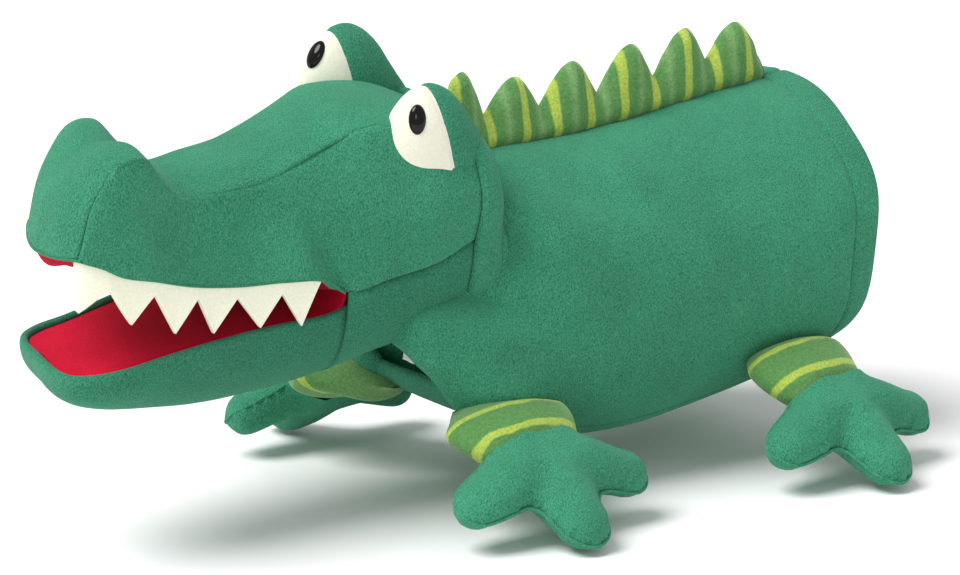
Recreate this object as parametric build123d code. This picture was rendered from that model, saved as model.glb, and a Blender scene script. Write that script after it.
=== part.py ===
from build123d import *
import math
import os

# Plush crocodile hand puppet with a moving mouth.  Millimetres.
# +X runs forward to the snout, +Y to the puppet's left, +Z up, from the surface it stands on.
# X is measured here from the middle of the sleeve and head; at the end everything is moved
# along X so that the origin is under the centre of the whole object.

# Fabric layers
PLUSH = 2.5            # outer velour with its pile
WADDING = 4.0          # fleece wadding between the sleeve's plush and its lining
LINING = 1.5           # thin woven lining
FELT = 2.0             # teeth and eye faces
BOARD = 2.0            # stiff boards behind the mouth lining
FLOCK = 2.0            # red velour inside the mouth
GAP = 0.3              # play between soft pieces that belong to different bodies

# Sleeve: x, half width, top and bottom of each oval section
REAR_X = -196.0
SLEEVE = [
    (REAR_X, 61.5, 166.0, 43.0),
    (-150.0, 61.0, 156.5, 31.0),
    (-105.0, 60.5, 152.5, 23.0),
    (-60.0, 59.0, 149.0, 20.0),
    (-20.0, 56.0, 145.5, 24.0),
    (8.0, 52.0, 140.0, 30.0),
    (30.0, 43.0, 132.0, 44.0),
]
CHEST_X = 30.0         # front of the chest
NECK_WALL_X = -20.0    # front of the sleeve above the shoulders
SHOULDER_Z = 75.0      # top of the shoulders, under the throat
HEM_LENGTH = 14.0
LINING_FRONT_X = -44.0  # the wadding and the lining end behind the neck
BELLY_HALF = 34.0      # the belly panel's seams lie this far each side of the middle

# Dorsal crest: six stuffed spikes in one strip, the first trimmed where it meets the head
SPIKES = 6
SPIKE_PITCH = 30.0
REAR_SPIKE_X = -166.0
CREST_ENDS = (-186.0, -21.5)
# half width of a spike, from its peak outwards, and its height there
SPIKE_PROFILE = ((0.0, 33.0), (5.0, 30.5), (10.0, 22.0))
VALLEY_HEIGHT = 15.0
CREST_THICKNESS = 9.0
CREST_ROOT = 6.0       # the strip's filling reaches this far down before the sleeve trims it

# Neck
NECK_X = -13.0         # the head turns, nods and tilts about this point
NECK_Z = 111.0
NECK_HOLE = (42.0, 27.0)
NECK_TUBE = (35.0, 20.5)
NECK_TUBE_ENDS = (-30.0, 8.0)

# Head, drawn upright and then leaned towards its left, as it rests
HEAD_LEAN = 8.0
HEAD_LEAN_Z = 115.0
HEAD_REAR_X = -7.0
HEAD_FRONT_X = 196.0
HINGE_X = 62.0
HINGE_Z = 108.0
PALATE_SLOPE = 0.18
PALATE_AT_HINGE = 111.3
TONGUE_SLOPE = -0.10
TONGUE_AT_HINGE = 104.4
# x, half width and crown height of each section of the head above the palate
HEAD = [
    (HEAD_REAR_X, 42.0, 158.0),
    (8.0, 45.0, 173.0),
    (35.0, 45.0, 179.0),
    (65.0, 43.0, 176.0),
    (98.0, 40.0, 169.0),
    (130.0, 38.5, 165.0),
    (156.0, 38.0, 173.0),
    (176.0, 35.0, 170.0),
    (190.0, 26.0, 158.0),
    (HEAD_FRONT_X, 16.0, 146.0),
]
GUSSET_HALF = 24.0     # the seams of the top gusset
HEAD_BACK_SEAM_X = 5.0
# x, half width and lowest point of each section of the throat and of the lower jaw
THROAT = [(-6.0, 42.0, 88.0), (15.0, 43.0, 82.0), (38.0, 42.0, 78.0), (57.0, 40.0, 74.0)]
JAW = [
    (58.5, 38.5, 73.0),
    (96.0, 36.5, 66.0),
    (135.0, 35.5, 64.0),
    (165.0, 34.0, 67.0),
    (183.0, 27.0, 75.0),
    (190.0, 15.0, 84.0),
]
# x, half width and height of each section of the pocket for the fingers, and of the thumb's
FINGERS = [(-4.0, 37.0, 135.0), (30.0, 36.0, 141.0), (66.0, 33.0, 143.0), (120.0, 30.0, 146.0), (165.0, 24.0, 150.0)]
THUMB = [(59.0, 27.0, 84.0), (100.0, 24.0, 79.0), (150.0, 19.0, 79.0)]

# Eyes: a bump each side, with a felt face and a plastic pupil on a shank
EYE_CENTRE = (16.0, 28.0, 169.0)
EYE_RADII = (21.0, 16.0, 26.0)
EYE_SEAM_X = 11.0
PUPIL_RADII = (2.6, 3.8, 6.3)
PUPIL_OFFSET = (2.0, 12.0)     # across and up from the bump's middle
SHANK_RADIUS = 1.5
SHANK_LENGTH = 7.5
WASHER_RADIUS = 4.5
WASHER_THICKNESS = 1.2

# Teeth: one zigzag strip of felt each side
TEETH = 6
TOOTH_PITCH = 18.0
TOOTH_FRONT_X = 182.0
TOOTH_BAND = 8.0
TOOTH_LENGTH = 25.0

# Legs: x of the hip, its y and z, reach and drop from hip to ankle, how far the leg is
# swept back in degrees, and half width at the hip and at the ankle.
# All four stand on their middle toes.
LEGS = {
    "front": {"x": -4.0, "hip": (56.0, 42.5), "reach": (22.0, 9.5), "sweep": 0.0, "half": (30.0, 24.0)},
    "rear": {"x": -157.0, "hip": (60.0, 47.0), "reach": (24.0, 13.5), "sweep": 7.0, "half": (27.0, 23.0)},
}
LEG_HALF_THICK = 10.5
ANKLE_RADIUS = 10.0
SOLE_FLAT = 1.0        # depth of the flat that the middle toe stands on
PAW_FLATTEN = 0.55     # paws are this much thinner than they are wide
# start and end (outward, along X) and half width of the palm and of each toe
PALM = ((8.0, -14.0), (8.0, 14.0), 15.0)
MIDDLE_TOE = ((10.0, 0.0), (37.0, 0.0), 16.0)
SIDE_TOE = ((11.0, 12.0), (16.0, 38.0), 11.5)

LABEL_SIZE = (1.0, 16.0, 12.0)
LARGE = 600.0

parts = {}


def palate_z(x):
    return PALATE_AT_HINGE + PALATE_SLOPE * (x - HINGE_X)


def tongue_z(x):
    return TONGUE_AT_HINGE + TONGUE_SLOPE * (x - HINGE_X)


def block(x0, x1, y0, y1, z0, z1):
    """A box between two corners."""
    middle = Pos((x0 + x1) / 2, (y0 + y1) / 2, (z0 + z1) / 2)
    return middle * Box(x1 - x0, y1 - y0, z1 - z0)


def oval_tube(x0, x1, half_y, half_z, z):
    """A solid oval bar along X."""
    oval = Plane((x0, 0, z), x_dir=(0, 1, 0), z_dir=(1, 0, 0)) * Ellipse(half_y, half_z)
    return extrude(oval, x1 - x0)


def ellipsoid(centre, radii):
    return Pos(*centre) * scale(Sphere(1.0), by=radii)


def sleeve_solid(inset, front_trim=0.0):
    """The sleeve's outer form, drawn in by inset, with its step under the head."""
    sections = []
    for x, half, top, bottom in SLEEVE:
        plane = Plane((x, 0, (top + bottom) / 2), x_dir=(0, 1, 0), z_dir=(1, 0, 0))
        sections.append(plane * Ellipse(half - inset, (top - bottom) / 2 - inset))
    body = loft(sections)
    step = block(NECK_WALL_X - front_trim, LARGE, -LARGE, LARGE, SHOULDER_Z - front_trim, LARGE)
    nose = block(CHEST_X - front_trim, LARGE, -LARGE, LARGE, -LARGE, LARGE)
    return body - step - nose


def dome(x, half, flat_z, crown_z, squareness=0.62):
    """A section across X: straight along flat_z and arched to crown_z."""
    steps = 8
    arch = []
    for i in range(steps + 1):
        angle = math.pi * i / steps
        side = abs(math.cos(angle)) ** squareness
        rise = abs(math.sin(angle)) ** 0.9
        y = half * side * (1 if math.cos(angle) >= 0 else -1)
        arch.append((x, y, flat_z + (crown_z - flat_z) * rise))
    curve = Spline(*arch)
    base = Line(arch[-1], arch[0])
    return Face(Wire([curve, base]))


def domed_loft(stations, flat, inset=0.0, lift=0.0, ends=(0.0, 0.0)):
    """A loft of domes over the sloping line flat(x), drawn in by inset from outside."""
    last = len(stations) - 1
    sections = []
    for i, (x, half, crown) in enumerate(stations):
        x += ends[0] if i == 0 else 0.0
        x -= ends[1] if i == last else 0.0
        base = flat(x) + lift
        crown -= inset if crown > base else -inset
        sections.append(dome(x, half - inset, base, crown))
    return loft(sections)


def slab(flat, low, high, x0, x1):
    """A sloping plate between two heights over the line flat(x)."""
    profile = Polyline(
        (x0, 0, flat(x0) + low),
        (x1, 0, flat(x1) + low),
        (x1, 0, flat(x1) + high),
        (x0, 0, flat(x0) + high),
        close=True,
    )
    return extrude(Face(Wire(profile.edges())), LARGE / 2, dir=(0, 1, 0), both=True)


def lean(shape):
    """The head's rest pose: leaned towards its left about the line of the neck."""
    return Pos(0, 0, HEAD_LEAN_Z) * Rot(-HEAD_LEAN, 0, 0) * Pos(0, 0, -HEAD_LEAN_Z) * shape


def side_name(side):
    return "left" if side > 0 else "right"


def make_sleeve():
    """Plush panels, wadding, lining, hem, yoke and chest."""
    skin = sleeve_solid(0.0) - sleeve_solid(PLUSH, PLUSH)
    neck_hole = oval_tube(NECK_WALL_X - 20, CHEST_X, *NECK_HOLE, NECK_Z)
    yoke_box = block(NECK_WALL_X - PLUSH, CHEST_X - PLUSH, -LARGE, LARGE, SHOULDER_Z - PLUSH, LARGE)
    yoke = (skin & yoke_box) - neck_hole
    rest = skin - yoke_box
    chest_box = block(CHEST_X - PLUSH, LARGE, -LARGE, LARGE, -LARGE, LARGE)
    parts["chest_panel"] = rest & chest_box
    parts["neck_yoke"] = yoke
    rest = rest - chest_box
    belly_box = block(REAR_X, CHEST_X, -BELLY_HALF, BELLY_HALF, -LARGE, SHOULDER_Z - PLUSH)
    parts["belly_panel"] = rest & belly_box
    rest = rest - belly_box
    for side in (1, -1):
        half = block(REAR_X, CHEST_X, min(0, side * LARGE), max(0, side * LARGE), -LARGE, LARGE)
        parts[f"body_side_{side_name(side)}"] = rest & half
    hem_end = REAR_X + HEM_LENGTH
    hem_box = block(REAR_X, hem_end, -LARGE, LARGE, -LARGE, LARGE)
    inner = sleeve_solid(PLUSH, PLUSH)
    parts["rear_hem"] = (inner - sleeve_solid(2 * PLUSH, PLUSH)) & hem_box
    tube_box = block(hem_end, LINING_FRONT_X, -LARGE, LARGE, -LARGE, LARGE)
    inside = PLUSH + WADDING
    parts["body_wadding"] = (inner - sleeve_solid(inside)) & tube_box
    parts["body_lining"] = (sleeve_solid(inside) - sleeve_solid(inside + LINING)) & tube_box


def sleeve_top(x):
    """Height of the sleeve's back at x, between the sections beside it."""
    for (x0, _, top0, _), (x1, _, top1, _) in zip(SLEEVE, SLEEVE[1:]):
        if x0 <= x <= x1:
            return top0 + (top1 - top0) * (x - x0) / (x1 - x0)
    return SLEEVE[-1][2]


def make_crest():
    """One strip of rounded spikes, sewn in along the back."""
    rear, front = CREST_ENDS
    heights = [(rear, 2.0)]
    for i in range(SPIKES):
        peak = REAR_SPIKE_X + SPIKE_PITCH * i
        heights += [(peak - shift, height) for shift, height in SPIKE_PROFILE[:0:-1]]
        heights += [(peak + shift, height) for shift, height in SPIKE_PROFILE]
        heights.append((peak + SPIKE_PITCH / 2, VALLEY_HEIGHT))
    outline = [(x, sleeve_top(x) + height) for x, height in heights]
    foot = [(x, top - CREST_ROOT) for x, _, top, _ in reversed(SLEEVE) if rear < x < outline[-1][0]]
    points = [(x, 0, z) for x, z in outline + foot + [(rear, sleeve_top(rear) - CREST_ROOT)]]
    face = Face(Wire(Polyline(*points, close=True).edges()))
    strip = extrude(face, CREST_THICKNESS / 2, dir=(0, 1, 0), both=True)
    room = block(rear, front, -LARGE, LARGE, 0, LARGE)
    parts["dorsal_crest"] = (strip & room) - sleeve_solid(0.0)


def make_label():
    """A small blank care label on the chest."""
    thick, wide, tall = LABEL_SIZE
    x = CHEST_X
    parts["care_label"] = block(x, x + thick, -wide / 2, wide / 2, SHOULDER_Z - 3 - tall, SHOULDER_Z - 3)


def make_neck():
    """The outer fabric ring and the inner lining tube that the hand passes through."""
    start = NECK_WALL_X + GAP
    end = HEAD_REAR_X - GAP
    outer = oval_tube(start, end, NECK_HOLE[0] + PLUSH, NECK_HOLE[1] + PLUSH, NECK_Z)
    inner = oval_tube(start - 1, end + 1, *NECK_HOLE, NECK_Z)
    parts["neck_sleeve"] = outer - inner
    tube = oval_tube(*NECK_TUBE_ENDS, *NECK_TUBE, NECK_Z)
    bore = oval_tube(
        NECK_TUBE_ENDS[0] - 1,
        NECK_TUBE_ENDS[1] + 1,
        NECK_TUBE[0] - LINING,
        NECK_TUBE[1] - LINING,
        NECK_Z,
    )
    parts["neck_lining"] = tube - bore


def make_head():
    """Head panels, eyes, palate, board, teeth, stuffing and the finger pocket."""
    outer = domed_loft(HEAD, palate_z)
    inner = domed_loft(HEAD, palate_z, PLUSH, 0.0, (PLUSH, PLUSH))
    head = {}
    skin = outer - inner - slab(palate_z, -20, 0, HEAD_REAR_X - 5, HEAD_FRONT_X + 5)
    neck_hole = oval_tube(HEAD_REAR_X - 5, HEAD_REAR_X + 6, *NECK_HOLE, NECK_Z)
    back_box = block(HEAD_REAR_X, HEAD_BACK_SEAM_X, -LARGE, LARGE, -LARGE, LARGE)
    head["head_back"] = (skin & back_box) - neck_hole
    rest = skin - back_box
    gusset_box = block(0, LARGE, -GUSSET_HALF, GUSSET_HALF, -LARGE, LARGE)
    head["head_gusset"] = rest & gusset_box
    rest = rest - gusset_box
    for side in (1, -1):
        half = block(0, LARGE, min(0, side * LARGE), max(0, side * LARGE), -LARGE, LARGE)
        head[f"head_side_{side_name(side)}"] = rest & half

    head["palate_lining"] = inner & slab(palate_z, 0, FLOCK, HINGE_X + 2, LARGE)
    board_form = domed_loft(HEAD, palate_z, 2 * PLUSH, 0.0, (PLUSH, 2 * PLUSH))
    board = slab(palate_z, FLOCK, FLOCK + BOARD, HINGE_X + 2, LARGE)
    head["upper_mouth_board"] = board_form & board

    floor = FLOCK + BOARD
    pocket = domed_loft(FINGERS, palate_z, 0.0, floor)
    hollow = domed_loft(FINGERS, palate_z, LINING, floor, (-1.0, LINING))
    head["finger_pocket"] = pocket - hollow
    above = slab(palate_z, floor, LARGE, HEAD_REAR_X - 5, LARGE)
    tube_room = oval_tube(HEAD_REAR_X, NECK_TUBE_ENDS[1] + 8, *NECK_HOLE, NECK_Z)
    head["head_stuffing"] = (inner & above) - pocket - tube_room
    head["finger_pocket"] = head["finger_pocket"] - tube_room
    return outer, head


def make_eye(side, outer):
    """Felt face, plush back, filling, pupil on its shank, and washer."""
    name = side_name(side)
    x, y, z = EYE_CENTRE
    centre = (x, side * y, z)
    bump = ellipsoid(centre, EYE_RADII)
    filling = ellipsoid(centre, tuple(r - FELT for r in EYE_RADII))
    shell = (bump - filling) - outer
    front = block(EYE_SEAM_X, LARGE, -LARGE, LARGE, -LARGE, LARGE)
    dy, dz = PUPIL_OFFSET
    reach = 1 - (dy / EYE_RADII[1]) ** 2 - (dz / EYE_RADII[2]) ** 2
    spot = Vector(x + EYE_RADII[0] * math.sqrt(reach), side * (y + dy), z + dz)
    normal = Vector(
        (spot.X - x) / EYE_RADII[0] ** 2,
        (spot.Y - side * y) / EYE_RADII[1] ** 2,
        (spot.Z - z) / EYE_RADII[2] ** 2,
    ).normalized()
    seat = Plane(spot - normal * 0.8, x_dir=Vector(0, 1, 0).cross(normal), z_dir=normal)
    flat = seat * Box(60, 60, 40, align=(Align.CENTER, Align.CENTER, Align.MIN))
    lens = seat * scale(Sphere(1.0), by=(PUPIL_RADII[2], PUPIL_RADII[1], PUPIL_RADII[0]))
    shank = seat * Cylinder(SHANK_RADIUS, SHANK_LENGTH, align=(Align.CENTER, Align.CENTER, Align.MAX))
    washer_place = seat * Pos(0, 0, -SHANK_LENGTH + 2)
    disc = washer_place * Cylinder(WASHER_RADIUS, WASHER_THICKNESS)
    made = {}
    made[f"pupil_{name}"] = (lens & flat) + shank
    made[f"eye_washer_{name}"] = disc - shank
    made[f"eye_white_{name}"] = (shell & front) - flat - shank
    made[f"eye_back_{name}"] = shell - front
    made[f"eye_stuffing_{name}"] = filling - outer - shank - disc - flat
    return made


def make_teeth(side):
    """A band along the lip with pointed teeth hanging from it."""
    made = []
    start = TOOTH_FRONT_X
    end = start - TOOTH_PITCH * TEETH
    low = [(start, palate_z(start) - TOOTH_BAND)]
    for i in range(TEETH):
        tip = start - TOOTH_PITCH * (i + 0.45)
        root = start - TOOTH_PITCH * (i + 1)
        low.append((tip, palate_z(tip) - TOOTH_LENGTH))
        low.append((root, palate_z(root) - TOOTH_BAND))
    outline = [(end, palate_z(end)), (start, palate_z(start))] + low
    for x, z in outline:
        made.append((x, 0, z))
    prism = extrude(Face(Wire(Polyline(*made, close=True).edges())), LARGE / 2, dir=(0, 1, 0), both=True)
    inside = [(x, jaw_half, 0) for x, jaw_half in tooth_line()]
    outside = [(x, jaw_half + FELT, 0) for x, jaw_half in tooth_line()]
    loop = [(x, side * y, 60) for x, y, _ in inside + outside[::-1]]
    curtain = extrude(Face(Wire(Polyline(*loop, close=True).edges())), 100, dir=(0, 0, 1))
    return prism & curtain


def tooth_line():
    """Where the inside of the felt runs: just outside the lower jaw."""
    return [(184.0, 29.5), (165.0, 34.8), (135.0, 36.3), (96.0, 37.3), (70.0, 38.4)]


def make_throat():
    """The soft fabric between the cheeks and the lower jaw."""
    outer = domed_loft(THROAT, palate_z)
    inner = domed_loft(THROAT, palate_z, PLUSH, 0.0, (-1.0, -1.0))
    room = oval_tube(-12.0, NECK_TUBE_ENDS[1] + 4, NECK_TUBE[0] + 2, NECK_TUBE[1] + 2, NECK_Z)
    return outer - inner - room


def make_mouth_fold():
    """The red lining where it turns from palate to tongue at the back of the mouth."""
    bend = Pos(HINGE_X, 0, HINGE_Z) * Rot(90, 0, 0)
    ring = bend * (Cylinder(3.4, 70) - Cylinder(1.9, 80))
    back = block(HINGE_X - 10, HINGE_X, -LARGE, LARGE, -LARGE, LARGE)
    return ring & back


def make_jaw():
    """Lower jaw: chin panel, tongue lining, board, stuffing and thumb pocket."""
    outer = domed_loft(JAW, tongue_z)
    inner = domed_loft(JAW, tongue_z, PLUSH, 0.0, (-1.0, PLUSH))
    jaw = {}
    jaw["chin_panel"] = outer - inner
    trim = block(JAW[0][0], LARGE, -LARGE, LARGE, -LARGE, LARGE)
    front = block(HINGE_X + 2, LARGE, -LARGE, LARGE, -LARGE, LARGE)
    jaw["tongue_lining"] = inner & slab(tongue_z, -FLOCK, 0, HINGE_X + 2, LARGE)
    board_form = domed_loft(JAW, tongue_z, 2 * PLUSH, 0.0, (0.0, 2 * PLUSH))
    board = slab(tongue_z, -FLOCK - BOARD, -FLOCK, HINGE_X + 2, LARGE)
    jaw["lower_mouth_board"] = board_form & board & front
    floor = -FLOCK - BOARD
    pocket = domed_loft(THUMB, tongue_z, 0.0, floor)
    hollow = domed_loft(THUMB, tongue_z, LINING, floor, (-1.0, LINING))
    jaw["thumb_pocket"] = pocket - hollow
    below = slab(tongue_z, -LARGE, floor, JAW[0][0], LARGE)
    jaw["jaw_stuffing"] = (inner & below & trim) - pocket
    return jaw


def capsule(start, end, radius):
    """A round-ended bar in the paw's own plane."""
    a = Vector(start[0], start[1], 0)
    b = Vector(end[0], end[1], 0)
    bar = Plane(a, z_dir=(b - a).normalized()) * Cylinder(
        radius, (b - a).length, align=(Align.CENTER, Align.CENTER, Align.MIN)
    )
    ends = Pos(*a) * Sphere(radius) + Pos(*b) * Sphere(radius)
    return bar + ends


def paw_form(inset):
    """The paw in its own frame: outward along X, wide along Y."""
    start, end, radius = PALM
    form = capsule(start, end, radius - inset)
    start, end, radius = MIDDLE_TOE
    form = form + capsule(start, end, radius - inset)
    start, end, radius = SIDE_TOE
    for side in (1, -1):
        form = form + capsule((start[0], side * start[1]), (end[0], side * end[1]), radius - inset)
    return scale(form, by=(1, 1, PAW_FLATTEN))


def paw_tilt(ankle_z):
    """How far the paw slopes down so that its middle toe stands on the surface."""
    (_, _), (reach, _), radius = MIDDLE_TOE
    tilt = 20.0
    while tilt < 60.0:
        slope = math.radians(tilt)
        drop = math.hypot(radius * math.sin(slope), radius * PAW_FLATTEN * math.cos(slope))
        if ankle_z - reach * math.sin(slope) - drop <= -SOLE_FLAT:
            return tilt
        tilt += 0.1
    return tilt


def make_leg(end, side):
    """Striped sleeve with its filling, and the paw with its filling."""
    leg = LEGS[end]
    hip_y, hip_z = leg["hip"]
    reach, drop = leg["reach"]
    length = math.hypot(reach, drop)
    slope = math.degrees(math.atan2(drop, reach))
    name = f"{end}_{side_name(side)}"
    out = Pos(leg["x"], side * hip_y, hip_z) * Rot(0, 0, side * (90 + leg["sweep"]))
    hip = out * Rot(0, slope, 0)
    ankle = out * Pos(reach, 0, -drop) * Rot(0, paw_tilt(hip_z - drop), 0)

    def tube(inset):
        near, far = leg["half"]
        sections = []
        rounds = ((-9.5, 0.9, 4.0), (-6.0, 0.97, 8.2), (0.0, 1.0, LEG_HALF_THICK))
        for u, spread, thick in rounds:
            sections.append(leg_section(u, near * spread - inset, thick - inset * thick / LEG_HALF_THICK))
        sections.append(leg_section(length, far - inset, LEG_HALF_THICK - 1 - inset))
        return loft(sections)

    cut = Pos(length, 0, 0) * Rot(90, 0, 0) * Cylinder(ANKLE_RADIUS + GAP, 200)
    skin = tube(0.0) - tube(PLUSH) - cut
    parts[f"leg_sleeve_{name}"] = hip * skin
    parts[f"leg_stuffing_{name}"] = hip * (tube(PLUSH) - cut)

    outer = ankle * paw_form(0.0)
    inner = ankle * paw_form(PLUSH)
    ground = block(-LARGE, LARGE, -LARGE, LARGE, -LARGE, 0)
    top = ankle * Box(LARGE, LARGE, 100, align=(Align.CENTER, Align.CENTER, Align.MIN))
    shell = outer - inner
    parts[f"paw_top_{name}"] = shell & top
    parts[f"paw_sole_{name}"] = shell - top - ground
    parts[f"paw_stuffing_{name}"] = inner


def leg_section(u, half, thick):
    plane = Plane((u, 0, 0), x_dir=(0, 1, 0), z_dir=(1, 0, 0))
    return plane * Ellipse(max(half, 1.0), max(thick, 0.8))


make_sleeve()
make_crest()
make_label()
make_neck()

head_outer, head_parts = make_head()
for side in (1, -1):
    head_parts.update(make_eye(side, head_outer))
    head_parts[f"teeth_{side_name(side)}"] = make_teeth(side)
head_parts["throat_panel"] = make_throat()
head_parts["mouth_fold"] = make_mouth_fold()
head_parts.update(make_jaw())
for name, shape in head_parts.items():
    parts[name] = lean(shape)

for end in LEGS:
    for side in (1, -1):
        make_leg(end, side)

# The snout and the rear toes are the object's two ends: centre it between them
ends = [shape.bounding_box() for shape in parts.values()]
centre_x = (min(box.min.X for box in ends) + max(box.max.X for box in ends)) / 2

os.makedirs("parts", exist_ok=True)
for name, shape in parts.items():
    export_step(Pos(-centre_x, 0, 0) * shape, f"parts/{name}.step")
print(len(parts), "parts, moved by", -centre_x)
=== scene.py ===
import math

import bmesh
import bpy
import numpy as np
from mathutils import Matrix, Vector, noise


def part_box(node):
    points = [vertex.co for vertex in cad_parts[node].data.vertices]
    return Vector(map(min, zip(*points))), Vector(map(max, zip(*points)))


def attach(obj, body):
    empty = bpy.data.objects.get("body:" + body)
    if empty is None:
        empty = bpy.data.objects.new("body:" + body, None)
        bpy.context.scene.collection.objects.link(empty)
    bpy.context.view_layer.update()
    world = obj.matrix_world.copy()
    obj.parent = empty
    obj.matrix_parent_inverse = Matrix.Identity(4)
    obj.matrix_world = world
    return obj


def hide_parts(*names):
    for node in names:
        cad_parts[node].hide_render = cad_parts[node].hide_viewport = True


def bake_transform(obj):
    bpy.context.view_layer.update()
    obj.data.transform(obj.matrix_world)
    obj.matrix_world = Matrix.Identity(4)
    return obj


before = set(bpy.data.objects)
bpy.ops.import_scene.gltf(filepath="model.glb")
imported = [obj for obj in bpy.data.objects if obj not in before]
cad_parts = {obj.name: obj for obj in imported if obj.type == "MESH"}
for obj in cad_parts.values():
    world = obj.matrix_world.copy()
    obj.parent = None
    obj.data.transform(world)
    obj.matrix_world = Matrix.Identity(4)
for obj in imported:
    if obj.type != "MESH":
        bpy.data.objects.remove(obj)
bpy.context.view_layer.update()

# Lengths below are in millimetres, with X measured as in the part's own drawing: the sleeve's
# rear rim is at REAR_X.  place() turns them into the frame's metres.
MM = 0.001
REAR_X = -196.0
OFFSET_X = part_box("rear_hem")[0][0] / MM - REAR_X
NECK = np.array([-13.0, 0.0, 111.0])
SIDE_NAMES = {1: "left", -1: "right"}
MIRROR = np.array([1.0, -1.0, 1.0])


def place(points):
    moved = np.array(points, dtype=float)
    moved[..., 0] += OFFSET_X
    return moved * MM


def spot(x, y, z):
    return tuple(place([x, y, z]))


# ---------------------------------------------------------------- curves and meshes

def xyz(x, y, z):
    return np.stack(np.broadcast_arrays(x, y, z), axis=-1)


def through(stations, x):
    """A smooth curve through (x, value) stations, held level beyond its ends."""
    xs = np.array([s[0] for s in stations], dtype=float)
    ys = np.array([s[1] for s in stations], dtype=float)
    slopes = np.gradient(ys, xs)
    x = np.clip(np.asarray(x, dtype=float), xs[0], xs[-1])
    i = np.clip(np.searchsorted(xs, x, side="right") - 1, 0, len(xs) - 2)
    span = xs[i + 1] - xs[i]
    t = (x - xs[i]) / span
    a = (1 + 2 * t) * (1 - t) ** 2
    b = t * (1 - t) ** 2 * span
    c = t * t * (3 - 2 * t)
    d = t * t * (t - 1) * span
    return a * ys[i] + b * slopes[i] + c * ys[i + 1] + d * slopes[i + 1]


def column(table, n):
    """Stations for the n-th value of a table whose rows start with x."""
    return [(row[0], row[n]) for row in table]


def ease(t):
    t = np.clip(t, 0.0, 1.0)
    return t * t * (3 - 2 * t)


def hump(x, middle, width):
    return np.exp(-(((x - middle) / width) ** 2))


def signed_power(value, power):
    return np.sign(value) * np.abs(value) ** power


def grid_faces(rows, cols, wrap, flip):
    faces = []
    for r in range(rows - 1):
        for c in range(cols if wrap else cols - 1):
            n = (c + 1) % cols
            quad = (r * cols + c, r * cols + n, (r + 1) * cols + n, (r + 1) * cols + c)
            faces.append(quad[::-1] if flip else quad)
    return faces


def add_object(name, data):
    made = bpy.data.objects.new(name, data)
    bpy.context.scene.collection.objects.link(made)
    return made


def shade_smooth(mesh):
    mesh.polygons.foreach_set("use_smooth", [True] * len(mesh.polygons))


def make_mesh(name, points, faces):
    """A mesh object from points in millimetres."""
    mesh = bpy.data.meshes.new(name)
    mesh.from_pydata([tuple(p) for p in place(points)], [], faces)
    mesh.validate()
    mesh.update()
    shade_smooth(mesh)
    return add_object(name, mesh)


def grid_piece(name, grid, wrap=False, flip=False):
    rows, cols = grid.shape[:2]
    return make_mesh(name, grid.reshape(-1, 3), grid_faces(rows, cols, wrap, flip))


def apply_modifiers(piece):
    graph = bpy.context.evaluated_depsgraph_get()
    baked = bpy.data.meshes.new_from_object(piece.evaluated_get(graph))
    old = piece.data
    name = old.name
    piece.modifiers.clear()
    piece.data = baked
    bpy.data.meshes.remove(old)
    baked.name = name


def thicken(piece, thickness):
    """Gives a fabric panel its thickness, inwards from its face."""
    solid = piece.modifiers.new("thickness", "SOLIDIFY")
    solid.thickness = thickness * MM
    solid.offset = -1.0
    solid.use_quality_normals = True
    apply_modifiers(piece)


def edit_mesh(piece, edit):
    mesh = bmesh.new()
    mesh.from_mesh(piece.data)
    edit(mesh)
    mesh.to_mesh(piece.data)
    mesh.free()


def face_outward(piece):
    edit_mesh(piece, lambda mesh: bmesh.ops.recalc_face_normals(mesh, faces=mesh.faces))
    shade_smooth(piece.data)


def cut_away(piece, point, normal):
    """Removes what lies on the side of a plane that normal points to."""
    edit_mesh(piece, lambda mesh: bmesh.ops.bisect_plane(
        mesh, geom=mesh.verts[:] + mesh.edges[:] + mesh.faces[:], dist=1e-6,
        plane_co=tuple(place(point)), plane_no=tuple(normal), clear_outer=True,
    ))


def points_of(piece):
    return np.array([v.co for v in piece.data.vertices])


def move_points(piece, points):
    piece.data.vertices.foreach_set("co", points.astype(np.float32).ravel())
    piece.data.update()


def normals_of(grid, wrap=False):
    """Unit normals of a grid of points, from its neighbours."""
    if wrap:
        du = np.roll(grid, -1, axis=1) - np.roll(grid, 1, axis=1)
    else:
        du = np.gradient(grid, axis=1)
    n = np.cross(du, np.gradient(grid, axis=0))
    return n / np.maximum(np.linalg.norm(n, axis=-1, keepdims=True), 1e-9)


def normals_facing(grid, row, col, guide):
    """Unit normals of a grid, turned so that the one at row, col points the way guide does."""
    normals = normals_of(grid)
    return -normals if np.dot(normals[row, col], guide) < 0 else normals


def soft_noise(points, size, seed):
    """Smooth noise in -1..1 over points, with features about size millimetres across."""
    shift = Vector((seed * 7.3, seed * 3.1, seed * 5.7))
    values = [noise.noise(Vector(p) + shift) for p in points.reshape(-1, 3) / size]
    return np.array(values).reshape(points.shape[:-1])


# ---------------------------------------------------------------- materials

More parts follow.
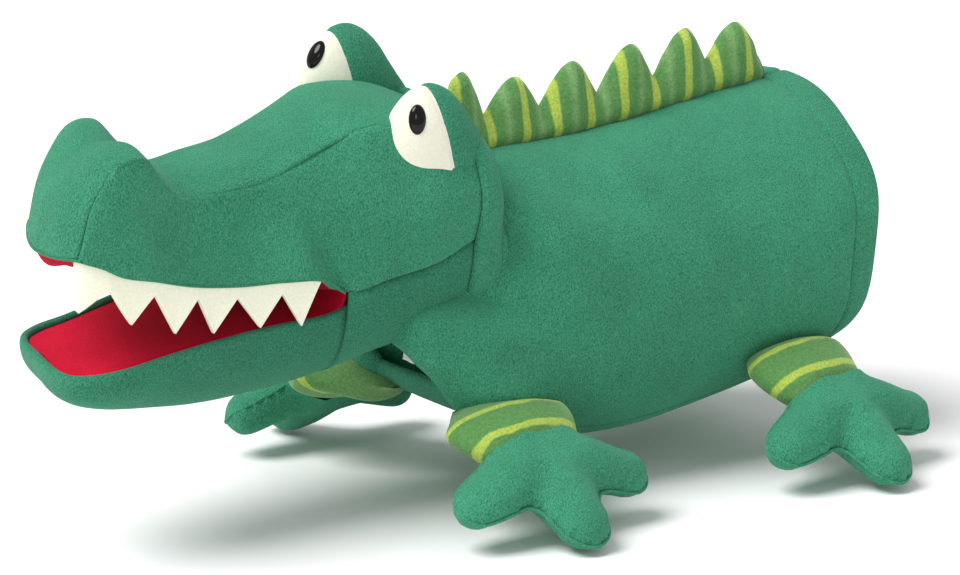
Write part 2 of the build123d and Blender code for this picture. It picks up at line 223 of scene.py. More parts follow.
class Surface:
    """A material being built: a principled shader, and short ways to put nodes in front of it."""

    def __init__(self, name):
        self.material = bpy.data.materials.new(name)
        self.material.use_nodes = True
        self.tree = self.material.node_tree
        self.tree.nodes.clear()
        output = self.tree.nodes.new("ShaderNodeOutputMaterial")
        self.shader = self.tree.nodes.new("ShaderNodeBsdfPrincipled")
        self.tree.links.new(self.shader.outputs["BSDF"], output.inputs["Surface"])

    def feed(self, node, inputs):
        """Gives inputs of a node a plain value or another node's output."""
        for key, value in inputs.items():
            if isinstance(value, bpy.types.NodeSocket):
                self.tree.links.new(value, node.inputs[key])
            else:
                node.inputs[key].default_value = value

    def add(self, kind, output, inputs, **settings):
        """One output of a new node."""
        node = self.tree.nodes.new(kind)
        for key, value in settings.items():
            setattr(node, key, value)
        self.feed(node, inputs)
        return node.outputs[output]

    def coords(self):
        return self.add("ShaderNodeTexCoord", "Object", {})

    def noise(self, coords, scale, detail, roughness, stretch=None):
        if stretch:
            coords = self.add("ShaderNodeMapping", "Vector", {"Vector": coords, "Scale": stretch})
        inputs = {"Vector": coords, "Scale": scale, "Detail": detail, "Roughness": roughness}
        return self.add("ShaderNodeTexNoise", "Fac", inputs)

    def sums(self, operation, *values):
        return self.add("ShaderNodeMath", 0, dict(enumerate(values)), operation=operation)

    def ramp(self, value, stops):
        node = self.tree.nodes.new("ShaderNodeValToRGB")
        elements = node.color_ramp.elements
        while len(elements) < len(stops):
            elements.new(0.5)
        for element, (position, colour) in zip(elements, stops):
            element.position = position
            element.color = (*colour, 1.0)
        self.feed(node, {"Fac": value})
        return node.outputs["Color"]

    def overlay(self, factor, base, over):
        inputs = {0: factor, 6: base, 7: over}
        return self.add("ShaderNodeMix", 2, inputs, data_type="RGBA", blend_type="OVERLAY")

    def finish(self, colour, roughness, specular, bumps, sheen=None):
        """bumps are (height, strength, distance in metres), and sheen is weight, roughness and tint."""
        inputs = {"Base Color": colour, "Roughness": roughness, "Specular IOR Level": specular}
        if sheen:
            inputs["Sheen Weight"], inputs["Sheen Roughness"], tint = sheen
            inputs["Sheen Tint"] = (*tint, 1.0)
        for height, strength, distance in bumps:
            bump = {"Height": height, "Strength": strength, "Distance": distance}
            if "Normal" in inputs:
                bump["Normal"] = inputs["Normal"]
            inputs["Normal"] = self.add("ShaderNodeBump", "Normal", bump)
        self.feed(self.shader, inputs)
        return self.material


def grey(value):
    return (value, value, value)


def darker(colour, factor):
    return tuple(c * factor for c in colour)


PILE_ROUGHNESS = 0.92
PILE_SPECULAR = 0.18
SHEEN_SPREAD = 0.42


def velour(name, deep, lit, sheen, pile, sheen_weight):
    """Short-pile plush: speckled pile, brushed patches, a soft sheen at grazing angles."""
    surface = Surface(name)
    coords = surface.coords()
    tuft = surface.noise(coords, 1900.0, 1.0, 0.5, (1.0, 1.0, 0.6))
    fibre = surface.noise(coords, 3400.0, 2.0, 0.6)
    brushed = surface.noise(coords, 34.0, 3.0, 0.5)
    worn = surface.noise(coords, 11.0, 2.0, 0.5)
    between = tuple((a + b) / 2 for a, b in zip(deep, lit))
    speckle = surface.ramp(tuft, [(0.28, deep), (0.50, between), (0.74, lit)])
    patch = surface.ramp(brushed, [(0.3, grey(0.42)), (0.7, grey(0.58))])
    fade = surface.ramp(worn, [(0.35, grey(0.46)), (0.7, (0.55, 0.56, 0.54))])
    colour = surface.overlay(0.6, surface.overlay(0.55, speckle, patch), fade)
    bumps = [(brushed, 0.35, 0.0009), (tuft, 0.55 * pile, 0.0009), (fibre, 0.35 * pile, 0.0004)]
    return surface.finish(colour, PILE_ROUGHNESS, PILE_SPECULAR, bumps, (sheen_weight, SHEEN_SPREAD, sheen))


YELLOW = (0.39, 0.50, 0.085)
LIGHT_STRIPE = (0.185, 0.345, 0.135)
DEEP_STRIPE = (0.100, 0.255, 0.075)
# colours from before a yellow stripe to after it, by distance from its middle in stripe widths
STRIPE_STEPS = [
    (-1.4, DEEP_STRIPE), (-0.6, DEEP_STRIPE), (-0.38, YELLOW),
    (0.38, YELLOW), (0.6, DEEP_STRIPE), (1.4, DEEP_STRIPE),
]
STRIPE_WOBBLE = 0.10


def striped_velour(name, attribute, pitch, phase, bands):
    """Velour woven in yellow stripes over two greens, repeating every pitch millimetres.

    The stripes lie across the x axis, or across a mesh attribute that counts millimetres.
    bands holds the middle and the width of each yellow stripe within one repeat.
    """
    surface = Surface(name)
    coords = surface.coords()
    tuft = surface.noise(coords, 950.0, 2.0, 0.6)
    fibre = surface.noise(coords, 2300.0, 2.0, 0.6)
    wobble = surface.noise(coords, 60.0, 2.0, 0.5)
    if attribute:
        run = surface.add("ShaderNodeAttribute", "Vector", {}, attribute_name=attribute)
        turns_per_unit = 1.0 / pitch
    else:
        run = coords
        turns_per_unit = 1.0 / (pitch * MM)
    along = surface.add("ShaderNodeSeparateXYZ", "X", {"Vector": run})
    turns = surface.sums("MULTIPLY_ADD", along, turns_per_unit, phase)
    cycle = surface.sums("FRACT", surface.sums("MULTIPLY_ADD", wobble, STRIPE_WOBBLE, turns))
    stops = [(0.0, LIGHT_STRIPE)]
    for middle, width in bands:
        stops += [((middle + offset * width) / pitch, colour) for offset, colour in STRIPE_STEPS]
    stops.append((1.0, LIGHT_STRIPE))
    shade = surface.ramp(tuft, [(0.28, (0.34, 0.36, 0.34)), (0.72, (0.66, 0.66, 0.64))])
    colour = surface.overlay(0.75, surface.ramp(cycle, stops), shade)
    bumps = [(tuft, 0.5, 0.0009), (fibre, 0.3, 0.0004)]
    return surface.finish(colour, PILE_ROUGHNESS, PILE_SPECULAR, bumps, (0.5, SHEEN_SPREAD, (0.7, 0.95, 0.6)))


def felt(name, colour):
    """Pressed felt: matted fibres, no direction."""
    surface = Surface(name)
    coords = surface.coords()
    mat = surface.noise(coords, 900.0, 4.0, 0.7)
    fibre = surface.noise(coords, 1500.0, 3.0, 0.7, (1.0, 0.35, 1.0))
    shade = surface.ramp(mat, [(0.3, darker(colour, 0.90)), (0.62, colour)])
    bumps = [(mat, 0.3, 0.0005), (fibre, 0.3, 0.0003)]
    return surface.finish(shade, 0.95, 0.12, bumps, (0.25, 0.5, (1.0, 0.98, 0.92)))


def woven(name, colour):
    """Plain woven lining or tape: a fine over-and-under weave."""
    surface = Surface(name)
    coords = surface.coords()
    thread = surface.noise(coords, 900.0, 2.0, 0.5)
    thread_waves = {"Vector": coords, "Scale": 420.0, "Distortion": 0.4}
    waves = [surface.add("ShaderNodeTexWave", "Fac", thread_waves, bands_direction=d) for d in ("X", "Z")]
    shade = surface.ramp(thread, [(0.3, darker(colour, 0.75)), (0.7, colour)])
    return surface.finish(shade, 0.8, 0.25, [(surface.sums("MAXIMUM", *waves), 0.3, 0.0003)])


def moulded(name, colour, roughness, coat=0.0, specular=0.5):
    """Moulded plastic with a faint flow pattern."""
    surface = Surface(name)
    flow = surface.noise(surface.coords(), 160.0, 3.0, 0.5)
    surface.feed(surface.shader, {"Coat Weight": coat, "Coat Roughness": 0.04})
    shade = surface.ramp(flow, [(0.3, darker(colour, 0.8)), (0.7, colour)])
    return surface.finish(shade, roughness, specular, [(flow, 0.05, 0.0002)])


# each plush in the shade of its pile, where light catches it, its sheen, depth of pile and sheen's weight
GREEN, PAW_GREEN, SHADED_CHIN_GREEN, RED = (velour(*look) for look in (
    ("plush_green", (0.018, 0.150, 0.082), (0.066, 0.335, 0.196), (0.45, 1.0, 0.72), 1.1, 0.20),
    ("paw_plush_green", (0.018, 0.155, 0.085), (0.068, 0.345, 0.204), (0.45, 1.0, 0.72), 1.4, 0.20),
    # chin and throat: the plush green painted about a fifth darker, as painted shade under the head
    ("chin_plush_green_painted_shade", (0.014, 0.122, 0.068), (0.052, 0.270, 0.158), (0.45, 1.0, 0.70), 1.2, 0.20),
    ("mouth_velour_red", (0.38, 0.001, 0.018), (0.62, 0.002, 0.036), (1.0, 0.45, 0.5), 0.3, 0.06),
))
CREST_STRIPES = striped_velour("crest_striped_velour", None, 17.6, 0.926, [(8.8, 4.2)])
LEG_STRIPES = striped_velour("leg_striped_velour", "along", 60.0, 0.5, [(32.0, 3.6), (48.0, 3.6)])
CREAM = felt("felt_cream", (0.96, 0.95, 0.76))
EYE_CREAM = felt("eye_felt_cream", (0.84, 0.83, 0.68))
LINING = woven("lining_green", (0.03, 0.16, 0.10))
SATIN = woven("label_satin", (0.80, 0.83, 0.86))
THREAD = woven("seam_thread", (0.008, 0.075, 0.045))
WASHER = moulded("washer_plastic", (0.75, 0.75, 0.72), 0.35)
BLACK = moulded("pupil_black", (0.004, 0.004, 0.004), 0.10, 0.25, 0.15)


def dress(piece, material, body=None, nodes=()):
    """A piece's material and slot, the body it rides on, and the CAD nodes that it stands for."""
    piece.data.materials.clear()
    piece.data.materials.append(material)
    if body:
        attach(piece, body)
    if nodes:
        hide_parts(*nodes)
    return piece


def panel(name, grid, guide, thickness, material, body=None, nodes=()):
    """A panel whose faces point the way guide says, thickened inwards."""
    sample = normals_of(grid)[grid.shape[0] // 2, grid.shape[1] // 2]
    piece = grid_piece(name, grid, flip=bool(np.dot(sample, guide) < 0))
    thicken(piece, thickness)
    return dress(piece, material, body, nodes)


def tube(name, grid, thickness, material, body=None, nodes=()):
    """A panel that closes on itself, thickened inwards."""
    piece = grid_piece(name, grid, wrap=True)
    thicken(piece, thickness)
    return dress(piece, material, body, nodes)


def thread_line(name, points, radius, material=THREAD):
    """A thin line of thread sunk in a seam, or a pinched edge of the fabric itself."""
    curve = bpy.data.curves.new(name, "CURVE")
    curve.dimensions = "3D"
    curve.bevel_depth = radius * MM
    curve.bevel_resolution = 2
    line = curve.splines.new("POLY")
    placed = place(points)
    line.points.add(len(placed) - 1)
    for point, value in zip(line.points, placed):
        point.co = (*value, 1.0)
    drawn = add_object(name, curve)
    mesh = bpy.data.meshes.new_from_object(drawn)
    bpy.data.objects.remove(drawn)
    bpy.data.curves.remove(curve)
    made = add_object(name, mesh)
    made.data.materials.clear()
    made.data.materials.append(material)
    return made


# ---------------------------------------------------------------- sleeve body

# x, half width, top and bottom of the sleeve
SLEEVE = [
    (-206.0, 60.5, 161.5, 46.0),
    (-186.0, 61.5, 159.5, 39.0),
    (-150.0, 61.2, 155.5, 30.0),
    (-105.0, 60.5, 149.5, 22.5),
    (-60.0, 59.0, 145.8, 21.0),
    (-20.0, 55.5, 145.0, 33.0),
    (8.0, 52.0, 140.0, 49.0),
    (34.0, 46.0, 132.0, 63.0),
    (46.0, 40.0, 129.0, 70.0),
]
SQUARENESS = 0.38        # how much squarer than an oval the sleeve's lower half is
CHEST_SQUARE = 0.32      # and how much more so over the front legs
# the rear rim, from its foot to its top: how far forward of REAR_X
RIM_SHIFT = [(-1.0, 3.0), (-0.75, -3.0), (-0.45, -5.5), (0.0, -5.0), (0.5, -4.5), (1.0, -2.0)]
# height on the oval, from 1 at its top to -1 at its foot, and how far forward the plush reaches
SLEEVE_FRONT = [
    (-1.0, 0.0), (-0.92, 22.0), (-0.8, 34.0), (-0.62, 40.0), (-0.43, 41.5), (-0.26, 40.0), (-0.12, 38.0),
    (0.0, 32.0), (0.2, 20.0), (0.4, 11.0), (0.7, 0.0), (1.0, -12.0),
]
SHOULDER_ROUND = 30.0    # the sleeve rounds in over this length before its front edge
SHOULDER_DRAW = 12.0
RIGHT_SHORT = 24.0       # how much less far forward its right shoulder reaches
UNDER_HEAD = 12.0        # how much narrower the sleeve is where it runs in under the head
HIP_COVER = 6.0          # how far the plush stands out over the tops of the front legs
AROUND = 200
# share of the way from rear rim to front edge: closest along the hem stitch and over the shoulder
SLEEVE_STATIONS = np.concatenate([
    np.linspace(0.0, 0.04, 4, endpoint=False), np.linspace(0.04, 0.07, 14, endpoint=False),
    0.07 + 0.93 * (1 - (1 - np.linspace(0.0, 1.0, 78)) ** 1.5),
])
SLEEVE_ROWS = len(SLEEVE_STATIONS)
YOKE_SEAM = 8            # rows in from the front edge to the seam where the yoke is sewn on
YOKE_ROWS = 18
NECK_RING = (41.0, 26.0)
HEM_TURN = 13.0
STITCH_BACK = 13.0
SLEEVE_SKIN = 1.6
STITCH_RADIUS = 0.5
GROOVE = (1.5, 1.1)      # depth and half width of the groove that the hem stitch lies in
SEAM_DEPTH = 0.9         # how far panels are pulled in where they are sewn together
SEAM_SPREAD = 1.6
HEM_SKIN = 3.4           # from the sleeve's face to the turned-in hem's
HEM_ROLL = 1.2           # how far forward of the rim its roll starts
BELLY_SEAM = 148 / 360   # how far round from the top the belly is sewn on, as a share of a turn


def around(count=AROUND):
    """Angles round the sleeve, from the top towards the left."""
    return np.linspace(0.0, 2 * math.pi, count, endpoint=False)


def sleeve_point(x, phi, inset=0.0):
    half = through(column(SLEEVE, 1), x) - inset
    top = through(column(SLEEVE, 2), x) - inset
    bottom = through(column(SLEEVE, 3), x) + inset
    square = (SQUARENESS + CHEST_SQUARE * ease((x + 62.0) / 54.0)) * ease(-np.cos(phi) * 1.6)
    y = half * signed_power(np.sin(phi), 1 - square)
    z = (top + bottom) / 2 + (top - bottom) / 2 * signed_power(np.cos(phi), 1 - 0.5 * square)
    return xyz(x, y, z)


def sleeve_folds(points):
    """How far the plush stands out or in: a slack fold off the neck and soft unevenness."""
    x, y, z = points[..., 0], points[..., 1], points[..., 2]
    away = z - (128.0 + 0.30 * (x + 60.0))
    slack = -1.9 * hump(away, 0.0, 7.0) * ease((x + 125.0) / 60.0)
    ridge = 1.3 * hump(away, 15.0, 8.0) * ease((x + 120.0) / 60.0)
    low = z - (70.0 - 0.25 * (x + 20.0))
    belly = -1.1 * hump(low, 0.0, 8.0) * hump(x, -35.0, 32.0)
    over_hip = HIP_COVER * hump(x, -2.0, 22.0) * hump(z, 50.0, 13.0)
    uneven = 1.1 * soft_noise(points, 46.0, 1.0) + 0.45 * soft_noise(points, 19.0, 2.0)
    under_crest = 1.0 - 0.7 * ease((8.0 - np.abs(y)) / 8.0) * (z > 120)
    return (slack + ridge + belly + over_hip + uneven) * under_crest


def shoulder_draw(outer, front, level):
    """How far the sleeve is drawn in: round the free shoulders, and narrowed where the head covers it."""
    nearly = np.clip((outer[..., 0] - front + SHOULDER_ROUND) / SHOULDER_ROUND, 0.0, 0.985)
    rounded = SHOULDER_DRAW * (1 - np.sqrt(1 - nearly ** 2))
    narrowed = UNDER_HEAD * ease((outer[..., 0] + 42.0) / 48.0)
    high = ease((level + 0.25) / 0.3)
    crown = ease((level - 0.5) / 0.38)
    return (rounded * (1 - 0.7 * high) + narrowed * high) * (1 - crown)


def yoke_rows(edge, before, level, phi):
    """Rows from the sleeve's front edge in to the neck, leaving the way the sleeve arrives."""
    ahead = edge - before
    ahead /= np.linalg.norm(ahead, axis=-1, keepdims=True)
    reach = 3.0 + 7.0 * ease((0.1 - level) / 0.3)
    ring = xyz(NECK[0] - 5.5, NECK_RING[0] * np.sin(phi), NECK[2] + NECK_RING[1] * np.cos(phi))
    knee = edge + ahead * reach[:, None]
    rows = []
    for t in np.linspace(0.0, 1.0, YOKE_ROWS + 1)[1:]:
        u = t ** 0.8
        rows.append((1 - u) ** 2 * edge + 2 * u * (1 - u) * knee + u * u * ring)
    return rows


def sleeve_grid():
    """Rows from the turned-in hem, over the rim, along the body and in over the shoulders.

    The grid's normals point inwards.
    """
    phi = around()
    level = np.cos(phi)
    front = through(SLEEVE_FRONT, level)
    front -= RIGHT_SHORT * ease(-np.sin(phi) * 1.5) * ease((0.2 - level) / 0.4)
    rim_wave = through(RIM_SHIFT, level) + 1.0 * np.sin(3 * phi + 0.6) + 0.7 * np.sin(7 * phi + 2.0)
    rows = []
    for t in np.linspace(0.0, 1.0, 8):
        x = REAR_X + HEM_TURN * (1 - t) + HEM_ROLL * t
        rows.append(sleeve_point(x + rim_wave * ease(t * 1.2), phi, HEM_SKIN))
    start = REAR_X + HEM_ROLL + rim_wave
    for t in np.linspace(0.15, 0.85, 4):
        angle = math.pi * t
        inset = HEM_SKIN / 2 * (1 + math.cos(angle))
        rows.append(sleeve_point(start - 1.6 * math.sin(angle), phi, inset))
    hem_rows = len(rows)
    outer = np.array([sleeve_point(start + (front - start) * t, phi) for t in SLEEVE_STATIONS])
    outer += normals_of(outer, True) * shoulder_draw(outer, front, level)[..., None]
    outer -= normals_of(outer, True) * sleeve_folds(outer)[..., None]
    stitch_x = REAR_X + rim_wave + STITCH_BACK
    groove = GROOVE[0] * hump(outer[..., 0], stitch_x, GROOVE[1]) * ((outer[..., 0] - stitch_x) < 6)
    outer += normals_of(outer, True) * groove[..., None]
    near = outer[:30]
    stitches = [
        [np.interp(stitch_x[c], near[:, c, 0], near[:, c, k]) for k in range(3)] for c in range(AROUND)
    ]
    rows += list(outer) + yoke_rows(outer[-1], outer[-4], level, phi)
    return np.array(rows), hem_rows, np.array(stitches + stitches[:1])


def seam_dip(grid, columns):
    """Pulls the sleeve's grid in along columns where panels are sewn together."""
    normals = normals_of(grid, True)
    for c in columns:
        width = np.linalg.norm(grid[:, (c + 1) % AROUND] - grid[:, c], axis=-1).mean()
        for k in range(-3, 4):
            fall = hump(k * width, 0.0, SEAM_SPREAD)
            grid[:, (c + k) % AROUND] += normals[:, (c + k) % AROUND] * SEAM_DEPTH * fall
    return grid


def make_sleeve():
    """Left and right sides, belly and yoke, split along their seams."""
    grid, hem_rows, stitches = sleeve_grid()
    belly_left = int(round(BELLY_SEAM * AROUND))
    belly_right = AROUND - belly_left
    grid = seam_dip(grid, [0, belly_left, belly_right])
    yoke_row = hem_rows + SLEEVE_ROWS - 1 + YOKE_SEAM
    for name, nodes, first, last in (
        ("body_side_left_plush", ("body_side_left",), 0, belly_left),
        ("belly_plush", ("belly_panel", "body_wadding", "rear_hem"), belly_left, belly_right),
        ("body_side_right_plush", ("body_side_right",), belly_right, AROUND),
    ):
        columns = [c % AROUND for c in range(first, last + 1)]
        piece = grid_piece(name, grid[:yoke_row + 1][:, columns])
        thicken(piece, SLEEVE_SKIN)
        dress(piece, GREEN, "body", nodes)
    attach(thread_line("hem_stitch", stitches, STITCH_RADIUS), "body")
    tube("neck_yoke_plush", grid[yoke_row:], SLEEVE_SKIN, GREEN, "body", ("neck_yoke", "chest_panel"))


make_sleeve()

# ---------------------------------------------------------------- head

HEAD_LEAN = 8.5          # degrees at the eyes, left side low
SNOUT_LEAN = 6.0         # degrees at the tip of the snout
SNOUT_SKEW = 0.18        # the snout's left side is stuffed further forward than its right
SNOUT_SHIFT = 4.0        # and its tip sits a little to the left
LEAN_Z = 115.0


def lean_head(points):
    """Leans head points to the left about a line along X, a little less towards the snout."""
    points = np.array(points, dtype=float)
    x, y, z = points[..., 0], points[..., 1], points[..., 2] - LEAN_Z
    turn = -np.radians(HEAD_LEAN + (SNOUT_LEAN - HEAD_LEAN) * ease((x - 60.0) / 100.0))
    ahead = ease((x - 90.0) / 90.0)
    leaned_y = y * np.cos(turn) - z * np.sin(turn) + SNOUT_SHIFT * ahead
    return xyz(x + SNOUT_SKEW * y * ahead, leaned_y, y * np.sin(turn) + z * np.cos(turn) + LEAN_Z)


# Left half of the upper head, from the seam at its back to its front corner.  Each row is a station:
# lip or cheek seam, middle of the side, gusset seam, crown beside the middle, and ridge.
UPPER = np.array([
    [(5, 45.5, 129), (5, 47.5, 147), (5, 37, 166), (5, 16, 172), (5, 0, 172)],
    [(24, 46, 121), (26, 47.8, 147), (28, 33, 176), (28, 15.5, 181), (28, 0, 181)],
    [(46, 44.5, 116.5), (48, 42.5, 143), (50, 27.5, 178), (50, 14, 182), (50, 0, 182)],
    [(66, 41.0, 112.0), (69, 37, 138), (70, 24.5, 170.5), (70, 13, 175.5), (70, 0, 176.5)],
    [(76, 40.2, 118.2), (82, 34, 137), (84, 24.5, 164.5), (84, 13.5, 170), (84, 0, 171.5)],
    [(93, 38.8, 119.8), (95, 30.6, 137), (97, 24.6, 159.5), (97, 13.5, 165.5), (97, 0, 167.5)],
    [(115, 37.2, 120.4), (115, 27.4, 138), (115, 24, 157), (115, 13.2, 162.8), (115, 0, 165)],
    [(135, 35.4, 123), (136, 26.3, 140), (137, 23.8, 157.5), (137, 13.2, 162), (137, 0, 163.5)],
    [(151, 33.8, 127.3), (149, 28.5, 146), (147, 25.5, 168.5), (148, 15, 171), (149, 0, 169)],
    [(165, 32.6, 131), (160, 31.5, 154), (155, 28.0, 177), (158, 17.5, 180), (161, 0, 176.5)],
    [(174, 31.2, 135.6), (170, 31.2, 154), (166, 28.5, 176.5), (170, 17.5, 178.5), (173, 0, 174.5)],
    [(180, 29.6, 137.6), (178.5, 29.2, 150), (176.5, 27.5, 164), (184, 16, 163), (187.5, 0, 160)],
    [(183.5, 27.5, 138.5), (183.5, 27.4, 139.4), (183.7, 26.9, 138.9), (190, 15.5, 136.9), (193, 0, 135.9)],
], dtype=float)
HEAD_COLS = 150
SIDE_ROWS = 30
GUSSET_ROWS = 21


def spline_through(points, count):
    """Points along a smooth curve through stations, evenly spread by station distance."""
    points = np.asarray(points, dtype=float)
    gaps = np.linalg.norm(np.diff(points, axis=0), axis=1) ** 0.75
    knots = np.concatenate([[0.0], np.cumsum(gaps)])
    t = np.linspace(0.0, knots[-1], count)
    return np.stack([through(list(zip(knots, points[:, k])), t) for k in range(points.shape[1])], axis=-1)


def skin_between(curves, count):
    """Rows across a set of lengthwise curves: a smooth section at every column."""
    curves = np.asarray(curves)
    sections = [spline_through(curves[:, c], count) for c in range(curves.shape[1])]
    return np.stack(sections, axis=1)


def seam_fall(count, seams, spread=0.9):
    """How far each row of a panel is pulled in towards the rows where it is sewn."""
    return SEAM_DEPTH * sum(hump(np.arange(count), seam, spread) for seam in seams)[:, None]


lengthwise = [spline_through(UPPER[:, k], HEAD_COLS) for k in range(5)]


def make_side():
    """The left side, with a cheek crease down to the mouth corner and the lip puffed out before it."""
    side = skin_between(lengthwise[:3], SIDE_ROWS)
    crease = side[..., 0] - (70.0 + 0.40 * (side[..., 2] - 118.0))
    low = ease((158.0 - side[..., 2]) / 30.0)
    shift = (-2.6 * hump(crease, 0.0, 4.5) + 2.0 * hump(crease, 13.0, 9.0)) * low
    shift += 0.7 * soft_noise(side, 30.0, 3.0) + 0.35 * soft_noise(side, 13.0, 4.0)
    fade = ease((HEAD_COLS - 1 - np.arange(HEAD_COLS)) / 10.0)
    normals = normals_facing(side, SIDE_ROWS // 2, HEAD_COLS // 2, (0, 1, 0))
    return side + normals * (shift * fade - seam_fall(SIDE_ROWS, [SIDE_ROWS - 1]))[..., None]


def make_gusset():
    """The strip over the top of the head, between the two sides."""
    half = skin_between(lengthwise[2:], GUSSET_ROWS)
    whole = np.concatenate([half, (half * MIRROR)[-2::-1]])
    normals = normals_facing(whole, GUSSET_ROWS - 1, HEAD_COLS // 3, (0, 0, 1))
    shift = 0.6 * soft_noise(whole, 32.0, 5.0) - seam_fall(len(whole), [len(whole) - 1, 0])
    return whole + normals * shift[..., None]


HEAD_SKIN = 2.0
side_left = make_side()
gusset = make_gusset()
for side in (1, -1):
    panel(
        f"head_side_{SIDE_NAMES[side]}_plush",
        lean_head(side_left if side > 0 else side_left[:, ::-1] * MIRROR),
        (0, side, 0.2), HEAD_SKIN, GREEN, "head", (f"head_side_{SIDE_NAMES[side]}",),
    )
gusset_piece = panel(
    "head_gusset_plush", lean_head(gusset), (0, 0, 1), HEAD_SKIN, GREEN, "head",
    ("head_gusset", "head_stuffing"),
)

# ---------------------------------------------------------------- lips, palate and teeth

FRONT_LIP = [(190, 15.5, 137), (193, 0, 136)]
LIP_INSET = 2.6
PALATE_BULGE = -9.0      # the stuffed palate hangs below the lips in the middle
LIP_SKIN = 1.0
LIP_ROLL = -0.9          # how far the rolled edge stands below the lip
PALATE_SKIN = 1.6
OUTLINE_POINTS = 170


def with_mirror(half):
    """A line from the left that ends on the middle, carried on to the right."""
    return list(half) + [(x, -y, z) for x, y, z in half[-2::-1]]


def inset_outline(outline, amount):
    """The outline moved inwards in plan."""
    ahead = np.gradient(outline, axis=0)
    ahead[:, 2] = 0
    ahead /= np.linalg.norm(ahead, axis=1, keepdims=True)
    inward = xyz(ahead[:, 1], -ahead[:, 0], 0.0)
    towards = np.array([110.0, 0.0, 0.0]) - outline
    inward *= np.sign((inward * towards).sum(axis=1, keepdims=True))
    return outline + inward * amount


def rim_rows(outline, rise, width, steps):
    """A rolled edge from the outline over to a seam inset by width."""
    rows = []
    for t in np.linspace(0.0, 1.0, steps):
        row = inset_outline(outline, width * (1 - math.cos(math.pi * t)) / 2)
        row[:, 2] += rise * math.sin(math.pi * t)
        rows.append(row)
    return np.array(rows)


def lining_sheet(outline, sag, rows=13):
    """A sheet across an outline that runs from left to right: rows are chords between its two sides."""
    half = len(outline) // 2
    left = outline[:half + 1]
    right = outline[::-1][:half + 1]
    t = np.linspace(0.0, 1.0, rows)[:, None, None]
    grid = left[None] * (1 - t) + right[None] * t
    wide = ease(np.linalg.norm(left - right, axis=1) / 42.0)
    grid[..., 2] += sag * wide[None] * (4 * t[..., 0] * (1 - t[..., 0]))
    return grid


lip = spline_through(with_mirror([tuple(row[0]) for row in UPPER[3:]] + FRONT_LIP), OUTLINE_POINTS)
lip_roll = lean_head(rim_rows(lip, LIP_ROLL, LIP_INSET, 7))
panel("upper_lip_roll", lip_roll, (1, 0, -1), LIP_SKIN, GREEN, "head")
palate_edge = inset_outline(lip, LIP_INSET - 0.4)
# tucked in behind the mouth's corners
palate_edge[:, 1] *= 1 - 0.07 * ease((84.0 - palate_edge[:, 0]) / 14.0)
palate = lean_head(lining_sheet(palate_edge, PALATE_BULGE))
panel("palate_velour", palate, (0, 0, -1), PALATE_SKIN, RED, "head", ("palate_lining", "upper_mouth_board"))

# Lower edge of the tooth strip, from its front end: place along the lip, and how far below the lip
TOOTH_EDGE = [
    (184.5, 20.0), (183.0, 21.5), (170.0, 8.0), (160.5, 19.5), (150.5, 6.0), (141.5, 21.0), (132.0, 5.2),
    (125.0, 20.0), (115.0, 5.2), (104.5, 19.0), (95.0, 5.4), (85.5, 20.0), (77.5, 1.0),
]
TOOTH_ROOT = 3.0
TOOTH_SKIN = 1.9
TOOTH_BEVEL = 0.4
TOOTH_INSIDE = 2.3                  # the strip is sewn in behind the lip's fabric
TOOTH_SPLAY = {1: 0.0, -1: 62.0}    # degrees that each strip stands out from hanging straight down


def make_teeth(side):
    """A felt strip cut into points, sewn in behind the lip."""
    marks, drops = np.array(TOOTH_EDGE).T
    places = np.unique(np.concatenate([np.linspace(marks[-1], marks[0], 90), marks]))[::-1]
    depth = TOOTH_ROOT + np.interp(places, marks[::-1], drops[::-1])
    lip_half = lip[:len(lip) // 2 + 1]
    lip_half = lip_half[np.argsort(lip_half[:, 0])]
    y = np.interp(places, lip_half[:, 0], lip_half[:, 1]) - TOOTH_INSIDE
    z = np.interp(places, lip_half[:, 0], lip_half[:, 2]) + TOOTH_ROOT
    v = np.linspace(0.0, 1.0, 12)[:, None]
    out = 1.2 * np.sin(math.pi * 0.5 * v) + 0.05 * depth * v * v
    down = -depth * v
    splay = math.radians(TOOTH_SPLAY[side]) * ease(2.2 * v)
    splay_cos, splay_sin = np.cos(splay), np.sin(splay)
    grid = xyz(places, y + out * splay_cos - down * splay_sin, z + out * splay_sin + down * splay_cos)
    name = SIDE_NAMES[side]
    leaned = lean_head(grid if side > 0 else grid * MIRROR)
    piece = panel(f"teeth_{name}_felt", leaned, (0, side, 0), TOOTH_SKIN, CREAM, None, (f"teeth_{name}",))
    soften = piece.modifiers.new("edges", "BEVEL")
    soften.width = TOOTH_BEVEL * MM
    soften.segments = 2
    soften.limit_method = "ANGLE"
    soften.angle_limit = math.radians(50)
    apply_modifiers(piece)
    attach(piece, "head")


make_teeth(1)
make_teeth(-1)

# ---------------------------------------------------------------- back of the head, cheeks and throat

# Cheeks and throat under the side panels: x, half width, bottom
THROAT = [(-4.0, 43.0, 89.0), (5.0, 45.5, 85.0), (28.0, 45.0, 77.0), (50.0, 43.0, 71.0), (66.0, 40.0, 66.5)]
THROAT_FRONT = 65.0
THROAT_ROWS = 46
THROAT_COLS = 44


def throat_section(x, top_y, top_z, v):
    """v runs from the left cheek seam (0) under the throat to the right one (1)."""
    half = through(column(THROAT, 1), x)
    bottom = through(column(THROAT, 2), x)
    angle = math.pi * v
    width = np.cos(angle)
    belly = 1.0 + 0.035 * np.sin(2 * angle) * np.sign(width)
    y = signed_power(width, 0.62) * (top_y + (half - top_y) * np.sin(angle)) * belly
    return xyz(x, y, top_z - (top_z - bottom) * np.sin(angle) ** 0.8)


